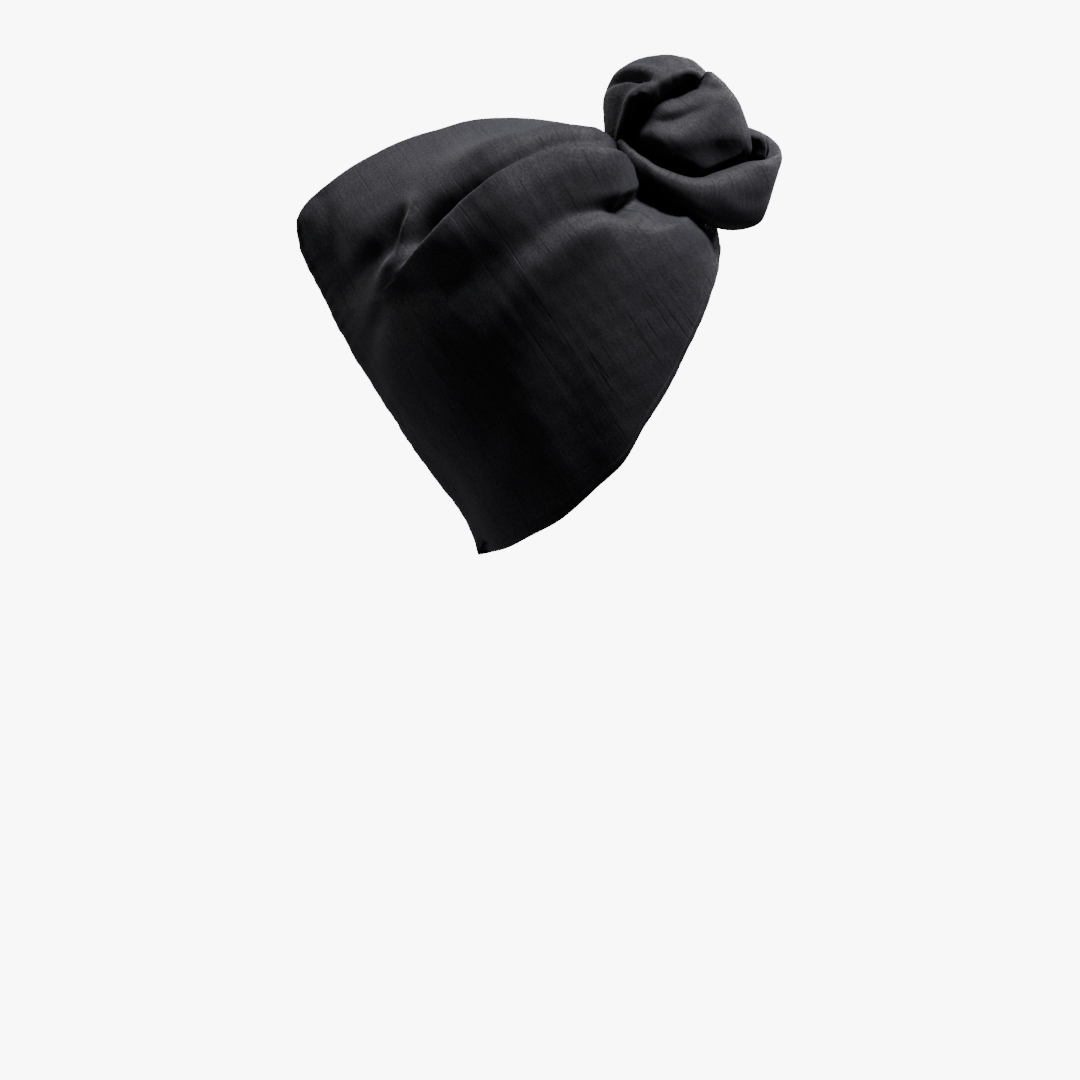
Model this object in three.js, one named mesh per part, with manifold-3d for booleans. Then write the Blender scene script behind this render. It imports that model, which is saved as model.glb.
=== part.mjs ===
// Turban headwrap: one folded strip of black silk worn over the head and knotted above the brow.
// Millimetres, +Z up. The wearer faces +X and the wearer's left side is +Y.
// The origin is the point where the wrap rests on the crown of the head.
// The strip is folded over the crown, sewn up the back from the nape to the top corner and open along the
// face, and its two tails leave through a gathered throat and are knotted over it.

import * as THREE from 'three';
import Module from 'manifold-3d';

const wasm = await Module();
wasm.setup();

// Sizes of the crown bag
const CAP_LENGTH = 232;
const CAP_HEIGHT = 239;
const CAP_HALF_WIDTH = 78;
const CLOTH_THICKNESS = 1.6;
const HEAD_SQUARENESS = 2.5;

// Sizes of the folds that the pull of the knot draws into the bag
const FOLD_RISE = 8.5;
const FOLD_SPREAD = 16;
const LEFT_FOLD_SHARE = 0.85;
const LEFT_FOLD_SHIFT = 0.022;

// Sizes of the throat, where the cloth is gathered before the knot
const THROAT_RADIUS = 17;
const THROAT_HEIGHT = 5;
const THROAT_PLEATS = 11;
const THROAT_PLEAT_DEPTH = 1.1;

// Sizes of the knot
const KNOT_REACH = 60;
const KNOT_SPREAD = 40;
const KNOT_HEIGHT = 63;
const LOOP_WIDTH = 34;
const LOOP_THICKNESS = 8;
const BAND_WIDTH = 18;
const BAND_THICKNESS = 9;
const TUCK_WIDTH = 9;
const TUCK_THICKNESS = 5;
const LOOP_FAR_CURL = 1.7;
const CORE_RADIUS = 11;
const CORE_TOP = 40;
const KNOT_CREASE = 3.2;
const KNOT_CREASE_SPREAD = 7;

// Clearance between two pieces that lie on each other
const PIECE_GAP = 0.5;

// Mesh densities
const SEAM_RIBS = 25;
const HEM_RIBS = 12;
const RINGS = 21;
const SECTION_SIDES = 14;
const DOME_SIDES = 24;
const STEPS_PER_STATION = 3;

// Place of the head's centre, of the throat and of the knot, as shares of the cap's length and height
const HEAD_CENTRE = { x: 0.009, z: -0.398 };
const THROAT_PLACE = { x: 0.268, z: -0.118 };
const KNOT_PLACE = { x: 0.267, z: -0.126 };
const KNOT_TILT = THREE.MathUtils.degToRad(41.6);

// Crown outline from the throat back to the top corner, as shares of the cap's length and height
const RIDGE = [
  { x: 0.217, z: -0.050 },
  { x: 0.142, z: -0.018 },
  { x: 0.081, z: -0.003 },
  { x: 0.019, z: 0.012 },
  { x: -0.052, z: 0.020 },
  { x: -0.123, z: 0.021 },
  { x: -0.194, z: 0.014 },
  { x: -0.266, z: -0.003 },
  { x: -0.337, z: -0.024 },
  { x: -0.408, z: -0.054 },
  { x: -0.479, z: -0.093 },
  { x: -0.538, z: -0.133 },
  { x: -0.578, z: -0.168 },
  { x: -0.600, z: -0.200 },
  { x: -0.606, z: -0.228 },
];

// Back seam from the top corner down to the nape
const SEAM = [
  { x: -0.606, z: -0.228 },
  { x: -0.603, z: -0.260 },
  { x: -0.593, z: -0.295 },
  { x: -0.571, z: -0.341 },
  { x: -0.543, z: -0.394 },
  { x: -0.503, z: -0.472 },
  { x: -0.465, z: -0.536 },
  { x: -0.420, z: -0.605 },
  { x: -0.375, z: -0.674 },
  { x: -0.318, z: -0.757 },
  { x: -0.256, z: -0.838 },
  { x: -0.213, z: -0.895 },
  { x: -0.189, z: -0.940 },
  { x: -0.175, z: -0.985 },
];

// Open edge from the nape up behind the ear and round the face to the middle of the brow
const HEM = [
  { x: -0.175, z: -0.985 },
  { x: -0.106, z: -0.968 },
  { x: -0.053, z: -0.942 },
  { x: 0.014, z: -0.908 },
  { x: 0.058, z: -0.874 },
  { x: 0.110, z: -0.827 },
  { x: 0.163, z: -0.779 },
  { x: 0.208, z: -0.704 },
  { x: 0.231, z: -0.669 },
  { x: 0.263, z: -0.620 },
  { x: 0.291, z: -0.566 },
  { x: 0.310, z: -0.526 },
  { x: 0.338, z: -0.472 },
  { x: 0.368, z: -0.402 },
  { x: 0.384, z: -0.354 },
  { x: 0.397, z: -0.301 },
];

// Brow outline from the middle of the open edge up to the throat
const BROW = [
  { x: 0.397, z: -0.301 },
  { x: 0.397, z: -0.272 },
  { x: 0.391, z: -0.232 },
  { x: 0.377, z: -0.193 },
  { x: 0.350, z: -0.160 },
  { x: 0.319, z: -0.135 },
];

// Reach of the head and neck from the head's centre, by direction in degrees from the face upwards
const HEAD_REACH = [
  { degrees: 0, reach: 0.399 },
  { degrees: 15, reach: 0.398 },
  { degrees: 45, reach: 0.396 },
  { degrees: 90, reach: 0.398 },
  { degrees: 135, reach: 0.425 },
  { degrees: 180, reach: 0.453 },
  { degrees: 210, reach: 0.462 },
  { degrees: 228, reach: 0.463 },
  { degrees: 240, reach: 0.486 },
  { degrees: 247, reach: 0.521 },
  { degrees: 253, reach: 0.592 },
  { degrees: 264, reach: 0.657 },
  { degrees: 271, reach: 0.716 },
  { degrees: 283, reach: 0.738 },
  { degrees: 291, reach: 0.757 },
  { degrees: 309, reach: 0.615 },
  { degrees: 328, reach: 0.472 },
  { degrees: 347, reach: 0.414 },
  { degrees: 360, reach: 0.399 },
];

// How the ribs to the seam are spread, 0 at the corner and 1 at the nape
const RIB_SPREAD = [
  { count: 0, place: 0 },
  { count: 0.12, place: 0.05 },
  { count: 0.3, place: 0.15 },
  { count: 0.76, place: 0.38 },
  { count: 1, place: 1 },
];

// How the rings are spread along a rib, 0 throat, 1 seam or open edge
const RING_SPREAD = [
  { count: 0, place: 0 },
  { count: 0.13, place: 0.07 },
  { count: 0.38, place: 0.42 },
  { count: 0.84, place: 0.87 },
  { count: 1, place: 1 },
];

// Folds of the bag along paths on its side: rise as a share of FOLD_RISE, crests positive, and the spread
// towards the crown or back (upper) and towards the face (lower) as shares of FOLD_SPREAD
const FOLDS = {
  largePleat: [
    { x: 0.203, z: -0.117, rise: 0.75, upper: 0.50, lower: 0.62 },
    { x: 0.148, z: -0.106, rise: 0.95, upper: 0.56, lower: 0.80 },
    { x: 0.099, z: -0.102, rise: 1.00, upper: 0.56, lower: 1.00 },
    { x: 0.034, z: -0.101, rise: 1.00, upper: 0.50, lower: 1.20 },
    { x: -0.015, z: -0.108, rise: 1.00, upper: 0.44, lower: 1.40 },
    { x: -0.066, z: -0.128, rise: 1.00, upper: 0.42, lower: 1.60 },
    { x: -0.121, z: -0.161, rise: 1.05, upper: 0.40, lower: 1.80 },
    { x: -0.193, z: -0.213, rise: 1.10, upper: 0.38, lower: 1.90 },
    { x: -0.251, z: -0.274, rise: 1.15, upper: 0.38, lower: 1.60 },
    { x: -0.309, z: -0.330, rise: 0.90, upper: 0.44, lower: 1.00 },
    { x: -0.371, z: -0.346, rise: 0.20, upper: 0.44, lower: 0.60 },
  ],
  largeValley: [
    { x: 0.111, z: -0.049, rise: -0.24, upper: 0.25, lower: 0.25 },
    { x: 0.034, z: -0.049, rise: -0.35, upper: 0.25, lower: 0.25 },
    { x: -0.015, z: -0.060, rise: -0.47, upper: 0.31, lower: 0.28 },
    { x: -0.075, z: -0.090, rise: -0.59, upper: 0.38, lower: 0.31 },
    { x: -0.131, z: -0.123, rise: -0.76, upper: 0.44, lower: 0.34 },
    { x: -0.207, z: -0.178, rise: -1.06, upper: 0.56, lower: 0.44 },
    { x: -0.261, z: -0.225, rise: -1.41, upper: 0.75, lower: 0.50 },
    { x: -0.309, z: -0.265, rise: -1.41, upper: 0.69, lower: 0.56 },
    { x: -0.358, z: -0.297, rise: -0.60, upper: 0.50, lower: 0.50 },
  ],
  upperPleat: [
    { x: 0.131, z: -0.044, rise: 0.35, upper: 0.31, lower: 0.25 },
    { x: 0.096, z: -0.028, rise: 0.41, upper: 0.38, lower: 0.25 },
    { x: 0.007, z: -0.023, rise: 0.41, upper: 0.38, lower: 0.31 },
    { x: -0.052, z: -0.037, rise: 0.35, upper: 0.44, lower: 0.38 },
    { x: -0.122, z: -0.055, rise: 0.35, upper: 0.50, lower: 0.44 },
    { x: -0.204, z: -0.082, rise: 0.29, upper: 0.56, lower: 0.50 },
    { x: -0.286, z: -0.114, rise: 0.12, upper: 0.63, lower: 0.56 },
  ],
  pleatEndValley: [
    { x: 0.242, z: -0.150, rise: -0.80, upper: 0.36, lower: 0.40 },
    { x: 0.203, z: -0.182, rise: -1.00, upper: 0.40, lower: 0.50 },
    { x: 0.166, z: -0.206, rise: -0.90, upper: 0.42, lower: 0.60 },
    { x: 0.118, z: -0.217, rise: -0.45, upper: 0.40, lower: 0.60 },
    { x: 0.040, z: -0.238, rise: -0.25, upper: 0.60, lower: 0.60 },
    { x: -0.050, z: -0.310, rise: -0.20, upper: 0.90, lower: 0.60 },
  ],
  cheekPleat: [
    { x: 0.124, z: -0.232, rise: 0.40, upper: 0.50, lower: 0.80 },
    { x: 0.092, z: -0.246, rise: 0.50, upper: 0.55, lower: 0.90 },
    { x: 0.032, z: -0.275, rise: 0.60, upper: 0.60, lower: 1.10 },
    { x: -0.042, z: -0.340, rise: 0.60, upper: 0.65, lower: 1.30 },
    { x: -0.091, z: -0.420, rise: 0.45, upper: 0.75, lower: 1.30 },
    { x: -0.141, z: -0.520, rise: 0.15, upper: 0.75, lower: 1.20 },
  ],
  rearPleat: [
    { x: -0.330, z: -0.196, rise: 0.35, upper: 0.44, lower: 0.56 },
    { x: -0.337, z: -0.250, rise: 0.71, upper: 0.44, lower: 0.63 },
    { x: -0.363, z: -0.297, rise: 0.76, upper: 0.44, lower: 0.69 },
    { x: -0.386, z: -0.347, rise: 0.65, upper: 0.50, lower: 0.75 },
    { x: -0.407, z: -0.401, rise: 0.41, upper: 0.56, lower: 0.75 },
    { x: -0.423, z: -0.450, rise: 0.06, upper: 0.56, lower: 0.75 },
  ],
  rearDent: [
    { x: -0.354, z: -0.230, rise: -0.71, upper: 0.50, lower: 0.50 },
    { x: -0.396, z: -0.289, rise: -0.65, upper: 0.56, lower: 0.56 },
    { x: -0.443, z: -0.336, rise: -0.47, upper: 0.63, lower: 0.63 },
    { x: -0.480, z: -0.377, rise: -0.20, upper: 0.63, lower: 0.63 },
  ],
  pleatFootHollow: [
    { x: -0.362, z: -0.393, rise: -0.35, upper: 0.63, lower: 0.75 },
    { x: -0.306, z: -0.389, rise: -0.59, upper: 0.69, lower: 0.88 },
    { x: -0.248, z: -0.376, rise: -0.59, upper: 0.69, lower: 0.88 },
    { x: -0.190, z: -0.344, rise: -0.35, upper: 0.56, lower: 0.75 },
  ],
  backHollow: [
    { x: -0.539, z: -0.169, rise: -0.18, upper: 0.50, lower: 0.50 },
    { x: -0.529, z: -0.235, rise: -0.41, upper: 0.56, lower: 0.56 },
    { x: -0.506, z: -0.310, rise: -0.35, upper: 0.63, lower: 0.63 },
    { x: -0.473, z: -0.382, rise: -0.12, upper: 0.63, lower: 0.63 },
  ],
};

// Back loop of the knot from its foot on the cap up and over to the dome: place as shares of KNOT_REACH,
// KNOT_SPREAD and KNOT_HEIGHT, half width of LOOP_WIDTH, half thickness and cup of LOOP_THICKNESS
const BACK_LOOP = [
  { u: -0.50, y: 0.00, h: -0.10, wide: 0.55, thick: 0.75, cup: 0.9, across: [0, 1, 0] },
  { u: -0.67, y: 0.00, h: 0.10, wide: 0.78, thick: 0.90, cup: 1.4, across: [0, 1, 0] },
  { u: -0.82, y: 0.00, h: 0.27, wide: 0.96, thick: 0.95, cup: 1.7, across: [0, 1, 0] },
  { u: -0.86, y: 0.00, h: 0.44, wide: 1.02, thick: 0.95, cup: 1.8, across: [0, 1, 0] },
  { u: -0.79, y: 0.00, h: 0.62, wide: 1.00, thick: 0.95, cup: 1.8, across: [0, 1, 0] },
  { u: -0.65, y: 0.00, h: 0.77, wide: 0.90, thick: 0.90, cup: 1.6, across: [0, 1, 0] },
  { u: -0.50, y: 0.00, h: 0.86, wide: 0.72, thick: 0.75, cup: 1.1, across: [0, 1, 0] },
  { u: -0.37, y: 0.00, h: 0.88, wide: 0.50, thick: 0.55, cup: 0.5, across: [0, 1, 0] },
];

// Front band of the knot from the near foot round the front to the far side, in the same shares, with half
// width of BAND_WIDTH and half thickness of BAND_THICKNESS
const FRONT_BAND = [
  { u: -0.54, y: -0.60, h: -0.01, wide: 0.14, thick: 0.34, cup: 0.0, across: [0.2, -0.2, 1] },
  { u: -0.28, y: -0.84, h: -0.01, wide: 0.24, thick: 0.60, cup: 0.0, across: [0.2, -0.3, 1] },
  { u: 0.02, y: -0.90, h: 0.00, wide: 0.46, thick: 0.90, cup: 0.2, across: [-0.1, -0.3, 1] },
  { u: 0.29, y: -0.78, h: 0.06, wide: 0.76, thick: 1.00, cup: 0.3, across: [-0.3, 0.1, 1] },
  { u: 0.52, y: -0.50, h: 0.22, wide: 0.98, thick: 1.05, cup: 0.4, across: [-0.45, 0.2, 1] },
  { u: 0.66, y: -0.12, h: 0.42, wide: 1.02, thick: 1.00, cup: 0.5, across: [-0.35, 0.1, 1] },
  { u: 0.61, y: 0.26, h: 0.60, wide: 0.98, thick: 0.95, cup: 0.5, across: [-0.2, 0.1, 1] },
  { u: 0.45, y: 0.58, h: 0.73, wide: 0.98, thick: 0.90, cup: 0.4, across: [0.1, 0.3, 1] },
  { u: 0.17, y: 0.78, h: 0.65, wide: 0.98, thick: 0.90, cup: 0.4, across: [0.1, 0.4, 1] },
  { u: -0.17, y: 0.86, h: 0.47, wide: 0.92, thick: 0.90, cup: 0.3, across: [0.1, 0.4, 1] },
  { u: -0.46, y: 0.78, h: 0.22, wide: 0.75, thick: 0.80, cup: 0.2, across: [0.1, 0.3, 1] },
  { u: -0.60, y: 0.58, h: 0.04, wide: 0.50, thick: 0.60, cup: 0.0, across: [0.1, 0.2, 1] },
];

// Dome of the knot from its foot to its top: place and half lengths as shares of the knot's sizes
const DOME = [
  { h: 0.13, u: -0.06, long: 0.42, wide: 0.70 },
  { h: 0.26, u: -0.07, long: 0.48, wide: 0.77 },
  { h: 0.42, u: -0.04, long: 0.50, wide: 0.78 },
  { h: 0.60, u: 0.00, long: 0.49, wide: 0.74 },
  { h: 0.76, u: -0.02, long: 0.44, wide: 0.64 },
  { h: 0.89, u: -0.11, long: 0.34, wide: 0.46 },
  { h: 0.97, u: -0.20, long: 0.20, wide: 0.26 },
];

// Creases of the dome on its near side, in shares of the knot's reach and height
const DOME_CREASES = [
  [
    { x: -0.24, z: 0.42, rise: -0.5, upper: 1.0, lower: 1.0 },
    { x: -0.10, z: 0.56, rise: -0.9, upper: 1.1, lower: 1.0 },
    { x: 0.04, z: 0.76, rise: -0.5, upper: 1.0, lower: 1.0 },
  ],
  [
    { x: -0.30, z: 0.14, rise: -0.8, upper: 1.2, lower: 1.0 },
    { x: -0.04, z: 0.18, rise: -1.2, upper: 1.3, lower: 1.0 },
    { x: 0.18, z: 0.30, rise: -0.9, upper: 1.2, lower: 1.0 },
  ],
];

// Tuck between the dome and the far side of the band, and the tail end tucked under the band at the brow
const INNER_TUCK = [
  { u: 0.16, y: 0.10, h: 0.62, wide: 0.55, thick: 0.7, cup: 0.0, across: [0.3, 1, 0] },
  { u: 0.30, y: 0.14, h: 0.74, wide: 0.95, thick: 1.0, cup: 0.0, across: [0.3, 1, 0] },
  { u: 0.42, y: 0.12, h: 0.80, wide: 1.00, thick: 1.0, cup: 0.0, across: [0.3, 1, 0] },
  { u: 0.50, y: 0.06, h: 0.70, wide: 0.55, thick: 0.7, cup: 0.0, across: [0.3, 1, 0] },
];
const LOWER_TUCK = [
  { u: 0.56, y: -0.34, h: 0.14, wide: 0.60, thick: 0.8, cup: 0.0, across: [1, 0, 0.4] },
  { u: 0.72, y: -0.10, h: 0.24, wide: 0.95, thick: 1.0, cup: 0.0, across: [1, 0, 0.4] },
  { u: 0.74, y: 0.14, h: 0.26, wide: 1.00, thick: 1.0, cup: 0.0, across: [1, 0, 0.4] },
  { u: 0.60, y: 0.40, h: 0.18, wide: 0.60, thick: 0.8, cup: 0.0, across: [1, 0, 0.4] },
];

// Smooth value of one column of a table at a place counted in rows
function along(rows, column, place) {
  const last = rows.length - 1;
  const clamped = Math.min(Math.max(place, 0), last);
  const index = Math.min(Math.floor(clamped), last - 1);
  const f = clamped - index;
  const p1 = rows[index][column];
  const p2 = rows[index + 1][column];
  const p0 = index > 0 ? rows[index - 1][column] : 2 * p1 - p2;
  const p3 = index + 2 <= last ? rows[index + 2][column] : 2 * p2 - p1;
  const a = 2 * p1;
  const b = p2 - p0;
  const c = 2 * p0 - 5 * p1 + 4 * p2 - p3;
  const d = -p0 + 3 * p1 - 3 * p2 + p3;
  return (a + b * f + c * f * f + d * f * f * f) / 2;
}

// Straight-line value of one column against another
function lookup(rows, key, column, value) {
  const last = rows.length - 1;
  let index = 0;
  while (index < last - 1 && rows[index + 1][key] <= value) {
    index += 1;
  }
  const low = rows[index];
  const high = rows[index + 1];
  const f = Math.min(Math.max((value - low[key]) / (high[key] - low[key]), 0), 1);
  return low[column] + (high[column] - low[column]) * f;
}

function smooth(low, high, value) {
  const f = Math.min(Math.max((value - low) / (high - low), 0), 1);
  return f * f * (3 - 2 * f);
}

// A curve of table rows measured by length, so that equal shares are equal lengths
function measuredCurve(rows, samples) {
  const points = [];
  for (let k = 0; k <= samples; k += 1) {
    const place = (k / samples) * (rows.length - 1);
    points.push(new THREE.Vector3(along(rows, 'x', place), 0, along(rows, 'z', place)));
  }
  return points;
}

function pointAtShare(points, lengths, share) {
  const target = share * lengths[lengths.length - 1];
  let index = 0;
  while (index < lengths.length - 2 && lengths[index + 1] < target) {
    index += 1;
  }
  const f = (target - lengths[index]) / (lengths[index + 1] - lengths[index]);
  return new THREE.Vector3().lerpVectors(points[index], points[index + 1], f);
}

function runningLengths(points, measure) {
  const lengths = [0];
  for (let k = 1; k < points.length; k += 1) {
    lengths.push(lengths[k - 1] + measure(points[k - 1], points[k]));
  }
  return lengths;
}

// Outline of the bag as a reach from the head's centre by direction
const OUTLINE_SAMPLES = 60;
const ridgePoints = measuredCurve(RIDGE, OUTLINE_SAMPLES);
const seamPoints = measuredCurve(SEAM, OUTLINE_SAMPLES);
const hemPoints = measuredCurve(HEM, OUTLINE_SAMPLES);
const browPoints = measuredCurve(BROW, OUTLINE_SAMPLES);

function polar(point) {
  const dx = point.x - HEAD_CENTRE.x;
  const dz = point.z - HEAD_CENTRE.z;
  const degrees = THREE.MathUtils.radToDeg(Math.atan2(dz, dx));
  return { degrees: (degrees + 360) % 360, reach: Math.hypot(dx, dz) };
}

const outline = [...ridgePoints, ...seamPoints, ...browPoints].map(polar);
outline.sort((a, b) => a.degrees - b.degrees);
const OUTLINE_FIRST = outline[0].degrees;
const OUTLINE_LAST = outline[outline.length - 1].degrees;

// Depth of cloth drawn taut over the head at a point of the side view, as a share of the half width.
// The head's section along each direction is the curve (r / head)^n + depth^n = 1, and beyond the head the
// cloth runs straight from the tangent point to the outline, where its two halves meet.
function tautDepth(point) {
  const { degrees, reach } = polar(point);
  const n = HEAD_SQUARENESS;
  let head = lookup(HEAD_REACH, 'degrees', 'reach', degrees);
  let edge = head;
  if (degrees >= OUTLINE_FIRST && degrees <= OUTLINE_LAST) {
    edge = lookup(outline, 'degrees', 'reach', degrees);
    head = Math.min(head, edge);
  }
  const tangent = head * (head / edge) ** (1 / (n - 1));
  const curved = (r) => Math.max(1 - (r / head) ** n, 0) ** (1 / n);
  if (reach <= tangent) {
    return curved(reach);
  }
  return curved(tangent) * Math.max((edge - reach) / Math.max(edge - tangent, 1e-6), 0);
}

// Height of one fold at a point of the side view, from its signed distance to the fold's path
function foldHeight(path, point, unit, rise, spread) {
  let best = null;
  for (let k = 0; k < path.length - 1; k += 1) {
    const ax = path[k].x * unit.x;
    const az = path[k].z * unit.z;
    const bx = path[k + 1].x * unit.x - ax;
    const bz = path[k + 1].z * unit.z - az;
    const px = point.x * unit.x - ax;
    const pz = point.z * unit.z - az;
    const f = Math.min(Math.max((px * bx + pz * bz) / (bx * bx + bz * bz), 0), 1);
    const ex = px - f * bx;
    const ez = pz - f * bz;
    const distance = Math.hypot(ex, ez);
    if (best === null || distance < best.distance) {
      best = { distance, place: k + f, upper: ex * bz - ez * bx > 0 };
    }
  }
  const width = spread * along(path, best.upper ? 'upper' : 'lower', best.place);
  const bell = Math.exp(-((best.distance / width) ** 2) * 1.6);
  return rise * along(path, 'rise', best.place) * bell;
}

const CAP_UNIT = { x: CAP_LENGTH, z: CAP_HEIGHT };

function bagFold(point) {
  let height = 0;
  for (const path of Object.values(FOLDS)) {
    height += foldHeight(path, point, CAP_UNIT, FOLD_RISE, FOLD_SPREAD);
  }
  return height;
}

// The throat's ring lies flat on the crown, square to the knot's axis
const knotAxis = new THREE.Vector3(Math.sin(KNOT_TILT), 0, Math.cos(KNOT_TILT));
const knotFore = new THREE.Vector3(Math.cos(KNOT_TILT), 0, -Math.sin(KNOT_TILT));
const knotSide = new THREE.Vector3(0, 1, 0);
const throatCentre = new THREE.Vector3(THROAT_PLACE.x * CAP_LENGTH, 0, THROAT_PLACE.z * CAP_HEIGHT);

function ringPoint(angle, radius) {
  return throatCentre.clone()
    .addScaledVector(knotFore, -radius * Math.cos(angle))
    .addScaledVector(knotSide, -radius * Math.sin(angle));
}

function toSize(share) {
  return new THREE.Vector3(share.x * CAP_LENGTH, 0, share.z * CAP_HEIGHT);
}

// Ends of the ribs: along the seam by length, then along the open edge by its length over the head
const flatLength = (a, b) => Math.hypot((a.x - b.x) * CAP_LENGTH, (a.z - b.z) * CAP_HEIGHT);
const roundLength = (a, b) => Math.hypot(
  (a.x - b.x) * CAP_LENGTH,
  (a.z - b.z) * CAP_HEIGHT,
  (tautDepth(a) - tautDepth(b)) * CAP_HALF_WIDTH,
);
const ridgeLengths = runningLengths(ridgePoints, flatLength);
const seamLengths = runningLengths(seamPoints, flatLength);
const hemLengths = runningLengths(hemPoints, roundLength);
const browLengths = runningLengths(browPoints, flatLength);

function ribEnd(place) {
  return place <= 1
    ? pointAtShare(seamPoints, seamLengths, place)
    : pointAtShare(hemPoints, hemLengths, place - 1);
}

// How far the first and last ribs bow out from the straight line to reach the outline
function bow(points, lengths, from, to, share, reversed) {
  const onCurve = pointAtShare(points, lengths, reversed ? 1 - share : share);
  const straight = new THREE.Vector3().lerpVectors(from, to, share);
  return toSize(onCurve).sub(straight);
}

const ringTop = ringPoint(0, THROAT_RADIUS);
const ringFront = ringPoint(Math.PI, THROAT_RADIUS);
const cornerEnd = toSize(ridgePoints[ridgePoints.length - 1]);
const browEnd = toSize(browPoints[0]);

// A point of the bag's right half: place 0 to 2 picks the rib, share 0 to 1 runs along it
function bagPoint(place, share) {
  const angle = (Math.PI * place) / 2;
  const start = ringPoint(angle, THROAT_RADIUS);
  const end = toSize(ribEnd(place));
  const point = new THREE.Vector3().lerpVectors(start, end, share);
  point.y = 0;
  const settle = smooth(0, 0.08, share);
  if (place < 1) {
    const ridgeBow = bow(ridgePoints, ridgeLengths, ringTop, cornerEnd, share, false);
    point.addScaledVector(ridgeBow, settle * (1 - place) ** 1.5);
  }
  if (place > 1) {
    const browBow = bow(browPoints, browLengths, ringFront, browEnd, share, true);
    point.addScaledVector(browBow, settle * (place - 1) ** 3);
  }
  const flat = { x: point.x / CAP_LENGTH, z: point.z / CAP_HEIGHT };
  const edge = place === 0 || place === 2 || (share === 1 && place <= 1);
  const cloth = edge ? 0 : tautDepth(flat) * CAP_HALF_WIDTH;
  const throat = THROAT_RADIUS * Math.sin(angle);
  point.y = -(throat * (1 - smooth(0, 0.16, share)) + cloth * smooth(0, 0.16, share));
  if (edge && share > 0) {
    point.y = 0;
  }
  return { point, flat };
}

// Solid of an open sheet: an outer face, an inner face a wall inside it and the strips that join them
class Sheet {
  constructor() {
    this.points = [];
    this.quads = [];
  }

  addPoint(point) {
    this.points.push(point.clone());
    return this.points.length - 1;
  }

  // Triangles of the quads, each split along its shorter diagonal
  triangles() {
    const found = [];
    for (const [a, b, c, d] of this.quads) {
      const first = this.points[a].distanceTo(this.points[c]);
      const second = this.points[b].distanceTo(this.points[d]);
      const halves = first <= second ? [[a, b, c], [a, c, d]] : [[a, b, d], [b, c, d]];
      found.push(...halves);
    }
    return found;
  }

  // Mean normal of each point, stretched so that a wall keeps its thickness round a crease
  normals() {
    const sums = this.points.map(() => new THREE.Vector3());
    const triangles = this.triangles();
    const faces = triangles.map(([p, q, r]) => {
      const a = this.points[p];
      const ab = new THREE.Vector3().subVectors(this.points[q], a);
      const ac = new THREE.Vector3().subVectors(this.points[r], a);
      return ab.cross(ac);
    });
    triangles.forEach((corners, k) => {
      for (const corner of corners) {
        sums[corner].add(faces[k]);
      }
    });
    for (const sum of sums) {
      sum.normalize();
    }
    const least = this.points.map(() => 1);
    triangles.forEach((corners, k) => {
      const unit = faces[k].clone().normalize();
      for (const corner of corners) {
        least[corner] = Math.min(least[corner], unit.dot(sums[corner]));
      }
    });
    return sums.map((sum, k) => sum.multiplyScalar(1 / Math.max(least[k], 0.55)));
  }
}

// Builds the bag's outer face with its folds, then displaces it outwards by a clearance
const RIBS = SEAM_RIBS + HEM_RIBS;

function ribPlace(rib) {
  return rib <= SEAM_RIBS
    ? lookup(RIB_SPREAD, 'count', 'place', rib / SEAM_RIBS)
    : 1 + (rib - SEAM_RIBS) / HEM_RIBS;
}

function bagSheet() {
  const sheet = new Sheet();
  const heights = [];
  const rightIds = [];
  const leftIds = [];
  for (let i = 0; i <= RIBS; i += 1) {
    const place = ribPlace(i);
    const right = [];
    const left = [];
    for (let j = 0; j <= RINGS; j += 1) {
      const share = lookup(RING_SPREAD, 'count', 'place', j / RINGS);
      const { point, flat } = bagPoint(place, share);
      const shared = i === 0 || i === RIBS || (j === RINGS && place <= 1);
      const settle = smooth(0.03, 0.14, share) * (1 - smooth(0.9, 1, share) * (place > 1 ? 1 : 0));
      const leftFlat = { x: flat.x, z: flat.z + LEFT_FOLD_SHIFT };
      const rightHeight = settle * bagFold(flat);
      const leftHeight = settle * bagFold(leftFlat) * LEFT_FOLD_SHARE;
      const id = sheet.addPoint(point);
      right.push(id);
      if (shared) {
        heights.push((rightHeight + leftHeight) / 2);
        left.push(id);
      } else {
        heights.push(rightHeight);
        left.push(sheet.addPoint(point.clone().setY(-point.y)));
        heights.push(leftHeight);
      }
    }
    rightIds.push(right);
    leftIds.push(left);
  }
  for (let i = 0; i < RIBS; i += 1) {
    for (let j = 0; j < RINGS; j += 1) {
      sheet.quads.push([rightIds[i][j], rightIds[i][j + 1], rightIds[i + 1][j + 1], rightIds[i + 1][j]]);
      sheet.quads.push([leftIds[i][j], leftIds[i + 1][j], leftIds[i + 1][j + 1], leftIds[i][j + 1]]);
    }
  }
  const normals = sheet.normals();
  sheet.points.forEach((point, k) => {
    point.addScaledVector(normals[k].normalize(), heights[k]);
  });
  const loop = [];
  const rim = [];
  for (let i = 0; i <= RIBS; i += 1) {
    loop.push(rightIds[i][0]);
  }
  for (let i = RIBS - 1; i > 0; i -= 1) {
    loop.push(leftIds[i][0]);
  }
  for (let i = SEAM_RIBS; i <= RIBS; i += 1) {
    rim.push(rightIds[i][RINGS]);
  }
  for (let i = RIBS - 1; i > SEAM_RIBS; i -= 1) {
    rim.push(leftIds[i][RINGS]);
  }
  addThroat(sheet, loop);
  return { sheet, rim, throat: sheet.throat };
}

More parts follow.
